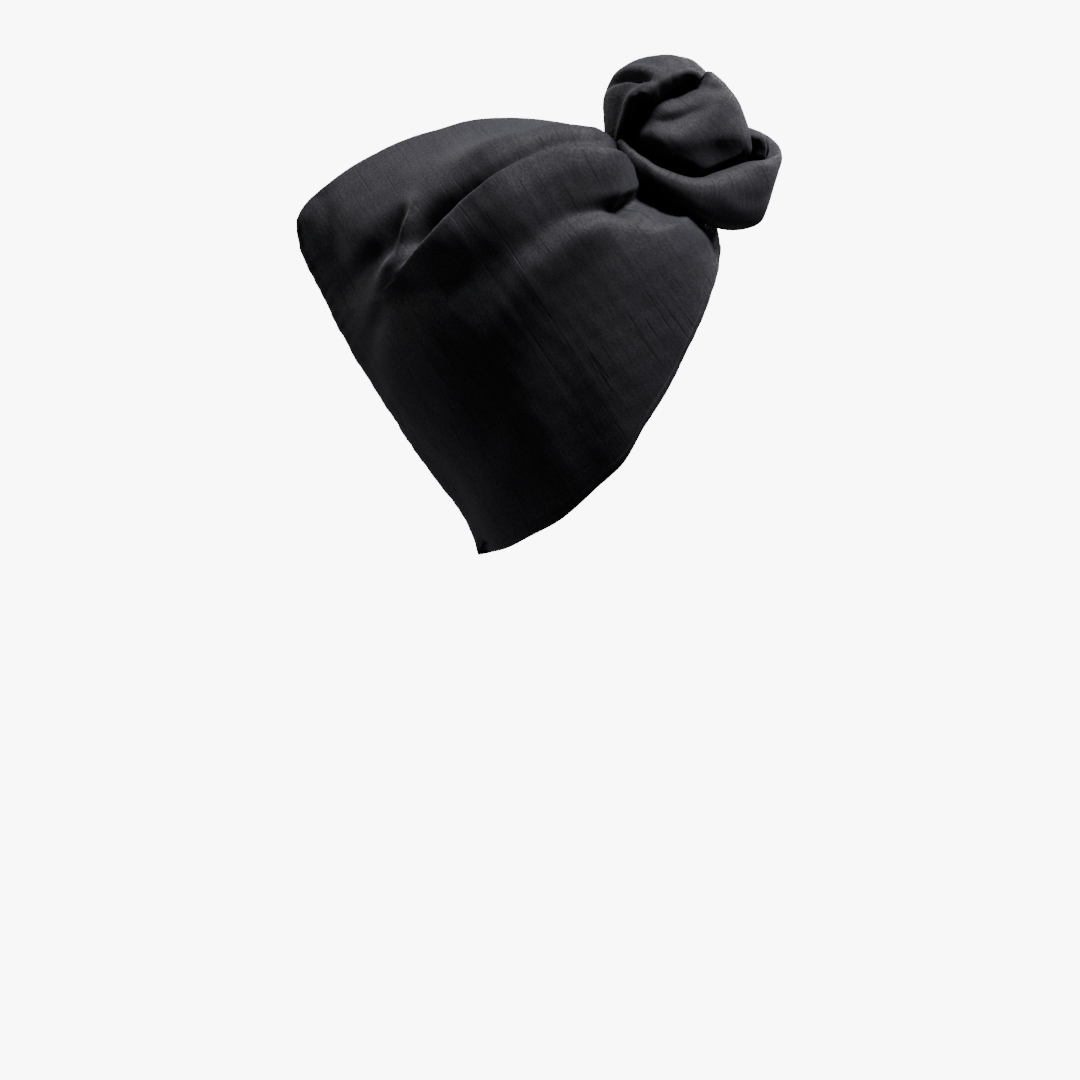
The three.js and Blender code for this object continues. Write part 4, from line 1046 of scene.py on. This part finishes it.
DOME = table(
    "h u long wide",
    (1.5, -3.5, 23.0, 26.5), (8.0, -2.8, 26.0, 33.6), (16.5, -2.3, 28.8, 34.2),
    (25.5, -3.0, 30.6, 32.2), (31.0, -1.9, 29.6, 30.4), (38.0, 0.2, 26.6, 27.6),
    (45.0, 0.6, 23.4, 24.0), (52.0, -2.9, 18.6, 19.0), (57.0, -7.2, 15.0, 14.5),
    (60.5, -11.8, 11.5, 9.5), (62.3, -15.0, 6.0, 5.0),
)
DOME_CREASES = [
    fold_path(  # curved dent across the near face
        (-26.0, 17.5, -0.5, 6.0, 3.5), (-21.6, 22.0, -1.7, 7.0, 3.6), (-17.2, 29.0, -2.2, 8.0, 4.0),
        (-13.4, 37.0, -2.0, 8.5, 4.6), (-9.5, 44.0, -0.8, 7.0, 5.5),
    ),
    fold_path(  # crest under the dent
        (-24.0, 9.0, 0.5, 6.0, 6.0), (-16.0, 14.0, 0.9, 7.0, 7.0), (-8.0, 19.0, 1.0, 7.0, 8.0),
        (0.0, 26.0, 0.8, 8.0, 9.0), (8.0, 34.0, 0.4, 8.0, 10.0),
    ),
    fold_path(  # pinch beside the lip at the top
        (-20.0, 50.0, -1.2, 3.5, 3.5), (-15.5, 53.5, -1.8, 3.5, 4.0), (-9.0, 57.5, -0.6, 4.0, 4.0),
    ),
    fold_path(  # soft fall to the lower front
        (4.0, 26.0, -0.4, 7.0, 7.0), (14.0, 33.0, -0.7, 7.0, 7.0), (22.0, 40.0, -0.4, 6.0, 6.0),
    ),
]
# Line above the band on the dome's near face, below which its cloth is tucked in
DOME_FOOT = table(
    "u h",
    (-30.0, 0.0), (-23.2, 1.6), (-16.4, 6.2), (-6.9, 10.6), (1.6, 14.8), (9.2, 17.0), (30.0, 18.0),
)

INNER_TUCK = table(
    "u y h wide thick au ay ah",
    (9.6, 4.0, 39.1, 5.0, 3.5, 0.3, 1, 0), (18.0, 5.6, 46.6, 8.5, 5.0, 0.3, 1, 0),
    (25.2, 4.8, 50.4, 9.0, 5.0, 0.3, 1, 0), (30.0, 2.4, 44.1, 5.0, 3.5, 0.3, 1, 0),
)
LOWER_TUCK = table(
    "u y h wide thick au ay ah",
    (33.6, -13.6, 8.8, 5.4, 4.0, 1, 0, 0.4), (43.2, -4.0, 15.1, 8.6, 5.0, 1, 0, 0.4),
    (44.4, 5.6, 16.4, 9.0, 5.0, 1, 0, 0.4), (36.0, 16.0, 11.3, 5.4, 4.0, 1, 0, 0.4),
)


def clear_of_dome(points: Array, gap: float = 1.0) -> Array:
    """Moves points that lie inside the dome's ovals straight out from its axis until they clear them.

    Args:
        points: Points in millimetres.
        gap: Clearance to the dome.

    Returns:
        The moved points.
    """
    place = KNOT.place(points)
    level = places_along(DOME, 120)
    h = along(DOME["h"], level)
    u, long, wide = (np.interp(place[..., 2], h, along(DOME[k], level)) for k in ("u", "long", "wide"))
    inside = (place[..., 2] > DOME["h"][0]) & (place[..., 2] < DOME["h"][-1])
    reach = np.hypot((place[..., 0] - u) / (long + gap), place[..., 1] / (wide + gap))
    grow = np.where(inside, np.maximum(1 / np.maximum(reach, 0.2), 1), 1)
    moved = np.stack([u + (place[..., 0] - u) * grow, place[..., 1] * grow, place[..., 2]], axis=-1)
    return KNOT.point(moved)


@dataclass
class WoundSheet:
    """Strip of cloth swept along a path of stations, its section turned in at both edges.

    Sizes are in millimetres. The section's middle line is offset by half the wall to each side. A pocket
    above 0 draws the section's first edge inwards by that share of the thickness, round the pocket's row.
    """

    rows: Table
    section: Table
    wall: float = 1.5
    steps: int = 150
    across_steps: int = 90
    seed: int = 5
    wrinkle: float = 0.35
    gathers: int = 5
    gather_depth: float = 0.9
    gather_girth: float = 34.0
    gather_reach: float = 12.0
    pocket: float = 0.0
    pocket_row: float = 1.8
    pocket_spread: float = 0.9
    pocket_edge: float = 3.5
    rim_depth: float = 6.0

    def frames(self, place: Array) -> tuple[Array, Array, Array, Array]:
        """Centre, tangent, across and outward direction at places along the path.

        Args:
            place: Places counted in rows.

        Returns:
            Four arrays of vectors in the object's frame, in millimetres for the centres.
        """
        rows = self.rows
        centre = KNOT.point(np.stack([along(rows[k], place) for k in ("u", "y", "h")], axis=-1))
        tangent = unit(np.gradient(centre, axis=0))
        if "au" in rows:
            index = np.arange(len(rows["u"]))
            aim = np.stack([np.interp(place, index, rows[k]) for k in ("au", "ay", "ah")], axis=-1)
        else:
            aim = np.tile([0.0, 1.0, 0.0], (len(place), 1))
        across = KNOT.direction(aim)
        across = unit(across - (across * tangent).sum(-1, keepdims=True) * tangent)
        thin = np.cross(tangent, across)
        flip = np.sign((thin * (centre - np.array(KNOT.centre))).sum(-1, keepdims=True))
        return centre, tangent, across, thin * flip

    def middle_line(self, place: Array, share: Array) -> tuple[Array, Array]:
        """Across and outward places of the section's middle line at every station.

        The first edge reaches further inwards round the pocket's row, as the pocket's floor. A sheet without
        a thickness has a crest and a rim, and below the rim its section turns in to the rim's depth.

        Args:
            place: Stations counted in rows.
            share: Places along the section counted in rows of its table.

        Returns:
            Two arrays by station and section place, in millimetres.
        """
        across = along(self.section["across"], share)[None]
        level = along(self.section["level"], share)[None]
        taper = np.sin(np.pi * np.clip(place / place[-1], 0.12, 0.88))[:, None] ** 0.2
        floor = np.exp(-(((place - self.pocket_row) / self.pocket_spread) ** 2))[:, None]
        level = level - self.pocket * floor * smooth(self.pocket_edge, 0.0, share)[None]
        wide = along(self.rows["wide"], place)[:, None]
        if "thick" in self.rows:
            return wide * taper * across, along(self.rows["thick"], place)[:, None] * taper * level
        crest, rim = along(self.rows["crest"], place)[:, None], along(self.rows["rim"], place)[:, None]
        below = np.maximum(self.rim_depth - rim, 0)
        return wide * across, np.where(level > 0, rim + (crest - rim) * level, rim + below * level)

    def relief(self, run: Array, across: Array) -> Array:
        """Wrinkles in millimetres: ripples along the path, and gathers that run in from both ends."""
        ends = np.minimum(run, run[-1] - run)
        phase = self.gathers * 2 * np.pi * across / self.gather_girth
        gather = np.cos(phase + ripples(run, across, self.seed, 40.0)) * np.exp(-ends / self.gather_reach)
        return self.wrinkle * ripples(run * 0.45, across, self.seed + 1, 13.0) + self.gather_depth * gather

    def cloth(self) -> Cloth:
        """Sweeps the section along the path.

        Returns:
            The sheet's points, faces and weave places.
        """
        place, share = places_along(self.rows, self.steps), places_along(self.section, self.across_steps)
        centre, _, across, thin = self.frames(place)
        a, b = self.middle_line(place, share)
        slope_a, slope_b = np.gradient(a, axis=1), np.gradient(b, axis=1)
        length = np.maximum(np.hypot(slope_a, slope_b), 1e-6)
        side_a, side_b = slope_b / length, -slope_a / length
        if side_b[:, self.across_steps // 2].mean() < 0:
            side_a, side_b = -side_a, -side_b
        run = np.concatenate([[0], np.cumsum(np.linalg.norm(np.diff(centre, axis=0), axis=1))])[:, None]
        girth = np.cumsum(length, axis=1)
        rise = self.relief(run, girth) + np.zeros_like(a)
        half = self.wall / 2 * np.sqrt(np.clip(1 - np.linspace(-1, 1, a.shape[1]) ** 40, 0.12, 1))[None]

        def face(offset: Array) -> Array:
            """Points of the section's line moved off by an offset."""
            return (
                centre[:, None]
                + across[:, None] * (a + side_a * offset)[..., None]
                + thin[:, None] * (b + side_b * offset)[..., None]
            )

        outer, inner = self.shaped(face(rise + half)), self.shaped(face(rise - half))
        weave = np.stack([girth, run + np.zeros_like(girth)], axis=-1)
        made = Cloth()
        if self.points_inwards(outer, inner):
            outer, inner, weave = outer[:, ::-1], inner[:, ::-1], weave[:, ::-1]
        made.add_sheet(outer, inner, weave)
        return made

    def shaped(self, points: Array) -> Array:
        """Last change to the swept points, for a piece that needs one."""
        return points

    def points_inwards(self, outer: Array, inner: Array) -> bool:
        """True where the grid's order would turn the outer faces inwards."""
        normal = np.cross(outer[1:, :-1] - outer[:-1, :-1], outer[:-1, 1:] - outer[:-1, :-1])
        return float((normal * (outer - inner)[:-1, :-1]).sum()) > 0


@dataclass
class BackLoop(WoundSheet):
    """Arched loop at the back of the knot, with a crease that runs from its outline to its near rim."""

    crease: float = 3.2

    def relief(self, run: Array, across: Array) -> Array:
        """Adds a crease and the roll beside it to the wrinkles.

        Args:
            run: Lengths along the loop's path.
            across: Lengths along its section, from the edge turned in behind.

        Returns:
            Heights in millimetres by station and section place.
        """
        rim = across[:, -1:] - across
        x, z = run + np.zeros_like(rim), rim + np.zeros_like(run)
        press = fold_height(LOOP_CREASE, x, z)[0] + fold_height(LOOP_ROLL, x, z)[0]
        return super().relief(run, across) + self.crease * press

    def shaped(self, points: Array) -> Array:
        """Keeps the loop clear of the dome."""
        return clear_of_dome(points)


@dataclass
class PuffedDome:
    """Shell of cloth puffed over the core, pressed in where the tails cross it. Sizes in millimetres."""

    wall: float = 1.6
    around: int = 200
    levels: int = 130
    squareness: float = 0.78
    crease: float = 1.55
    face_turn: float = 0.28
    unevenness: float = 0.32
    crumple: float = 0.05
    tuck_share: float = 0.5
    girth: float = 190.0
    weave_start: float = 400.0
    press_level: float = -0.95
    press_edge: float = 1.25
    press_depth: float = 2.2

    def rings(self, shrink: float) -> Array:
        """Rings of the shell: an oval about each level's middle, moved outwards by the creases.

        The near face turns with the oval's length, and the foot is tucked in: on the near side below its
        own line, beside the band, and on the far side by its height.

        Args:
            shrink: How far the rings are drawn in.

        Returns:
            Points by level and place round the ring.
        """
        place = places_along(DOME, self.levels)
        h, u, long, wide = (along(DOME[k], place)[:, None] for k in ("h", "u", "long", "wide"))
        turn = np.linspace(0, 2 * np.pi, self.around, endpoint=False)[None]
        c, n = (np.sign(part) * np.abs(part) ** self.squareness for part in (np.cos(turn), np.sin(turn)))
        x, y = u + (long - shrink) * c, (wide - shrink) * n
        y = y + self.face_turn * long * c * smooth(0, 16, -y)
        press = sum(fold_height(path, x, h + 0 * x)[0] for path in DOME_CREASES)
        press = press * self.crease * np.abs(n) ** 0.5
        press = press + self.unevenness * ripples(x + y * 0.4, h * 0.8 + y * 0.3, 21, 19.0)
        press = press + self.crumple * ripples(x, h + y * 0.5, 22, 7.0)
        foot = places_along(DOME_FOOT, 60)
        edge = np.interp(x, along(DOME_FOOT["u"], foot), along(DOME_FOOT["h"], foot))
        near = smooth(0, 5.0, edge - 0.8 - h) * smooth(4, 16, -y)
        far = 0.5 * smooth(0, 9.0, 12.0 - h) * smooth(4, 16, y)
        y = y * (1 - self.tuck_share * (near + far)) + n * press
        x = x + c * press
        top = h - shrink * smooth(0.7, 1.0, place / place[-1])[:, None]
        return KNOT.point(np.stack([x, y, top + 0 * x], axis=-1))

    def build(self, silk: bpy.types.Material) -> bpy.types.Object:
        """Makes the dome's piece, attaches it to the root and hides the dome's CAD part.

        Args:
            silk: The cloth's finish.

        Returns:
            The piece.
        """
        made = Cloth()
        outer, inner = self.yielding(self.rings(0.0)), self.yielding(self.rings(self.wall))
        steps = np.linalg.norm(np.diff(outer, axis=0, prepend=outer[:1]), axis=-1).mean(1)
        run = self.weave_start + np.cumsum(steps)[:, None]
        girth = np.linspace(0, self.girth, self.around, endpoint=False)[None]
        weave = np.stack(np.broadcast_arrays(girth, run), axis=-1)
        a, b = made.add_points(outer), made.add_points(inner)
        places = np.concatenate([weave.reshape(-1, 2)] * 2)
        for ids, turned in ((a, False), (b, True)):
            faces = grid_faces(ids, around=True)
            wraps = places[faces]
            wraps[self.around - 1 :: self.around, 1:3, 0] = self.girth
            made.add_faces(faces[:, ::-1] if turned else faces, wraps[:, ::-1] if turned else wraps)
            top = outer[-1].mean(0) - KNOT.direction(np.array([0, 0, self.wall * turned]))
            made.add_fan(ids[-1], top, places[ids[-1]], turned)
        rim = grid_faces(np.stack([b[0], a[0]]), around=True)
        made.add_faces(rim, places[rim])
        piece = made.make("knot_dome_cloth", silk)
        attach(piece, "root")
        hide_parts("knot_dome")
        return piece

    def yielding(self, points: Array) -> Array:
        """Presses the shell in where the front band lies on it.

        A point inside the band's own section, or just beyond its edges, moves along the band's inward
        direction until it lies under the band.

        Args:
            points: Points of the shell.

        Returns:
            The pressed points.
        """
        band = WoundSheet(FRONT_BAND, BAND_SECTION)
        place = places_along(FRONT_BAND, 159)
        centre, _, across, thin = band.frames(place)
        wide, thick = along(FRONT_BAND["wide"], place), along(FRONT_BAND["thick"], place)
        flat = points.reshape(-1, 3)
        gap = flat[:, None] - centre[None]
        near = np.argmin((gap**2).sum(-1), axis=1)
        gap = np.take_along_axis(gap, near[:, None, None], axis=1)[:, 0]
        a = (gap * across[near]).sum(-1) / wide[near]
        b = (gap * thin[near]).sum(-1) / thick[near]
        reach = np.clip((self.press_edge - np.abs(a)) / (self.press_edge - 1), 0, 1)
        push = np.maximum(b - self.press_level, 0) * thick[near] * reach * (np.abs(b) < self.press_depth)
        return (flat - thin[near] * push[:, None]).reshape(points.shape)


@dataclass
class TwistedCore:
    """The two tails drawn up through the throat and twisted round each other. Sizes in millimetres."""

    radius: float = 11.0
    bottom: float = 2.25
    top: float = 40.0
    narrowing: float = 0.25
    around: int = 72
    levels: int = 60
    end_place: float = 20.0

    def build(self, silk: bpy.types.Material, bag: CrownBag) -> bpy.types.Object:
        """Makes the core: rings whose radius swells twice round each turn and turns with height.

        Args:
            silk: The cloth's finish.
            bag: The bag that the core leaves through its throat.

        Returns:
            The piece.
        """
        share = np.linspace(0, 1, self.levels + 1)[:, None]
        turn = np.linspace(0, 2 * np.pi, self.around, endpoint=False)[None]
        twist = np.cos(2 * (turn - np.pi * share)) + 0.25 * np.cos(9 * (turn - np.pi * share))
        radius = self.radius * (1 - self.narrowing * share) * (0.9 + 0.08 * twist)
        height = self.bottom + (self.top - self.bottom) * share + 0 * turn
        parts = np.stack([radius * np.cos(turn), radius * np.sin(turn), height], axis=-1)
        points = bag.throat + KNOT.direction(parts)
        made = Cloth()
        ids = made.add_points(points)
        faces = grid_faces(ids, around=True)
        made.add_faces(faces, np.stack([radius * turn, height], axis=-1).reshape(-1, 2)[faces])
        ends = np.full((self.around, 2), self.end_place)
        for level, turned in ((0, True), (-1, False)):
            made.add_fan(ids[level], points[level].mean(0), ends, turned)
        piece = made.make("knot_core_twist", silk)
        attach(piece, "root")
        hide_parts("knot_core")
        return piece


@dataclass
class Knot:
    """The knot above the brow: loop, dome, front band, two tucked ends and the core that holds them."""

    silk: bpy.types.Material
    bag: CrownBag

    def sheet(
        self, name: str, node: str, cloth: WoundSheet
    ) -> bpy.types.Object:
        """Args:
            name: Name of the piece.
            node: CAD node that it stands for.
            cloth: The sheet's shape.

        Returns:
            The piece.
        """
        piece = cloth.cloth().make(name, self.silk)
        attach(piece, "root")
        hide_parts(node)
        return piece

    def build(self) -> list[bpy.types.Object]:
        """Makes every piece of the knot.

        Returns:
            The pieces.
        """
        loop = BackLoop(BACK_LOOP, LOOP_SECTION, seed=31, steps=170, across_steps=110)
        loop.wrinkle, loop.gathers, loop.gather_depth = 0.14, 2, 0.3
        band = WoundSheet(FRONT_BAND, BAND_SECTION, seed=37, steps=240, across_steps=64)
        band.wrinkle, band.gather_depth, band.pocket = 0.2, 0.3, 1.6
        small = {"steps": 60, "across_steps": 48, "gathers": 4, "gather_depth": 0.4}
        inner = WoundSheet(INNER_TUCK, BAND_SECTION, seed=41, **small)
        lower = WoundSheet(LOWER_TUCK, BAND_SECTION, seed=43, **small)
        return [
            TwistedCore().build(self.silk, self.bag),
            PuffedDome().build(self.silk),
            self.sheet("knot_loop_cloth", "knot_back_loop", loop),
            self.sheet("knot_band_cloth", "knot_front_band", band),
            self.sheet("knot_inner_tuck_cloth", "knot_inner_tuck", inner),
            self.sheet("knot_lower_tuck_cloth", "knot_lower_tuck", lower),
        ]


# --- the studio ----------------------------------------------------------------------------------------


@dataclass
class Studio:
    """Pale floor, soft lights and the camera, in metres."""

    floor_height: float = -0.9
    floor_half: float = 3.0
    floor_grey: float = 0.50
    fade_from: float = 0.45
    fade_to: float = 1.45
    surround_seen: float = 9.0
    surround_light: float = 0.032
    lamp_aim: tuple[float, float, float] = (0.0, 0.0, -0.08)
    camera_place: tuple[float, float, float] = (-0.0066, -2.4, -0.22715)
    lens: float = 145.45
    film_width: float = 36.0

    def floor(self) -> bpy.types.Object:
        """Makes the floor: one wide square whose pale paint fades into the surround with the distance."""
        mesh = bpy.data.meshes.new("studio_floor")
        corners = [(-1, -1), (1, -1), (1, 1), (-1, 1)]
        places = [(x * self.floor_half, y * self.floor_half, self.floor_height) for x, y in corners]
        mesh.from_pydata(places, [], [(0, 1, 2, 3)])
        paint = bpy.data.materials.new("floor_paint")
        paint.use_nodes = True
        tree = paint.node_tree
        nodes = Nodes(tree)
        shader = tree.nodes["Principled BSDF"]
        shader.inputs["Base Color"].default_value = (self.floor_grey, self.floor_grey, self.floor_grey, 1)
        shader.inputs["Roughness"].default_value = 0.9
        far = nodes.add("VectorMath", {0: tree.nodes.new("ShaderNodeTexCoord").outputs["Object"]})
        far.operation = "LENGTH"
        reach = {"Value": far.outputs["Value"], "From Min": self.fade_from, "From Max": self.fade_to}
        fade, clear = nodes.add("MapRange", reach), nodes.add("BsdfTransparent", {})
        parts = {"Fac": fade.outputs["Result"], 1: shader.outputs["BSDF"], 2: clear.outputs["BSDF"]}
        mix = nodes.add("MixShader", parts)
        tree.links.new(mix.outputs["Shader"], tree.nodes["Material Output"].inputs["Surface"])
        mesh.materials.append(paint)
        floor = bpy.data.objects.new("studio_floor", mesh)
        bpy.context.scene.collection.objects.link(floor)
        return floor

    def lamp(
        self, name: str, place: tuple[float, float, float], size: float, power: float
    ) -> bpy.types.Object:
        """Adds a soft square lamp aimed at the headwrap.

        Args:
            name: Name of the lamp.
            place: Where it hangs.
            size: Side of its square.
            power: Power in watts.

        Returns:
            The lamp.
        """
        light = bpy.data.lights.new(name, "AREA")
        light.shape, light.size, light.energy = "SQUARE", size, power
        lamp = bpy.data.objects.new(name, light)
        lamp.location = place
        lamp.rotation_euler = self.aimed(np.array(self.lamp_aim) - np.array(place))
        bpy.context.scene.collection.objects.link(lamp)
        return lamp

    def aimed(self, aim: Array) -> tuple[float, float, float]:
        """Turn that points a lamp's or camera's -Z along a direction with its top upwards."""
        flat = float(np.hypot(aim[0], aim[1]))
        return (float(np.arctan2(flat, -aim[2])), 0.0, float(np.arctan2(-aim[0], aim[1])))

    def backdrop(self) -> None:
        """Sets a white surround that the camera sees and that lights the cloth only faintly."""
        world = bpy.data.worlds.new("studio_surround")
        bpy.context.scene.world = world
        world.use_nodes = True
        world.node_tree.nodes.clear()
        nodes = Nodes(world.node_tree)
        seen = nodes.add("Background", {"Strength": self.surround_seen, "Color": (1, 1, 1, 1)})
        faint = nodes.add("Background", {"Strength": self.surround_light, "Color": (0.9, 0.93, 1, 1)})
        direct = nodes.add("LightPath", {}).outputs["Is Camera Ray"]
        parts = {"Fac": direct, 1: faint.outputs["Background"], 2: seen.outputs["Background"]}
        nodes.add("OutputWorld", {"Surface": nodes.add("MixShader", parts).outputs["Shader"]})

    def camera(self) -> bpy.types.Object:
        """Adds the level camera at the photograph's viewing angle."""
        data = bpy.data.cameras.new("studio_camera")
        data.lens, data.sensor_width, data.clip_end = self.lens, self.film_width, 60.0
        camera = bpy.data.objects.new("studio_camera", data)
        camera.location = self.camera_place
        camera.rotation_euler = self.aimed(np.array([0.0, 1.0, 0.0]))
        bpy.context.scene.collection.objects.link(camera)
        bpy.context.scene.camera = camera
        return camera

    def build(self) -> None:
        """Makes the floor, the lamps, the surround and the camera."""
        self.floor()
        self.backdrop()
        self.lamp("key_lamp", (0.8, -0.4, 2.05), 0.7, 148.0)
        self.lamp("back_lamp", (-1.6, 1.6, 1.4), 1.2, 22.0)
        self.lamp("far_lamp", (1.2, 2.0, 1.2), 1.2, 28.0)
        self.lamp("left_lamp", (-2.2, 0.6, 0.3), 0.9, 12.0)
        self.camera()


def main() -> None:
    """Builds the studio, the bag and the knot, and logs each piece's face count."""
    logging.basicConfig(level=logging.INFO, format="%(message)s")
    log = logging.getLogger("headwrap")
    Studio().build()
    bag = CrownBag()
    cap_silk = DupioniSilk("silk_cap_cloth").material()
    knot_silk = DupioniSilk("silk_knot_cloth").material()
    pieces = [bag.build(cap_silk), *Knot(knot_silk, bag).build()]
    for piece in pieces:
        log.info("%s: %d faces", piece.name, len(piece.data.polygons))


if __name__ == "__main__":
    main()
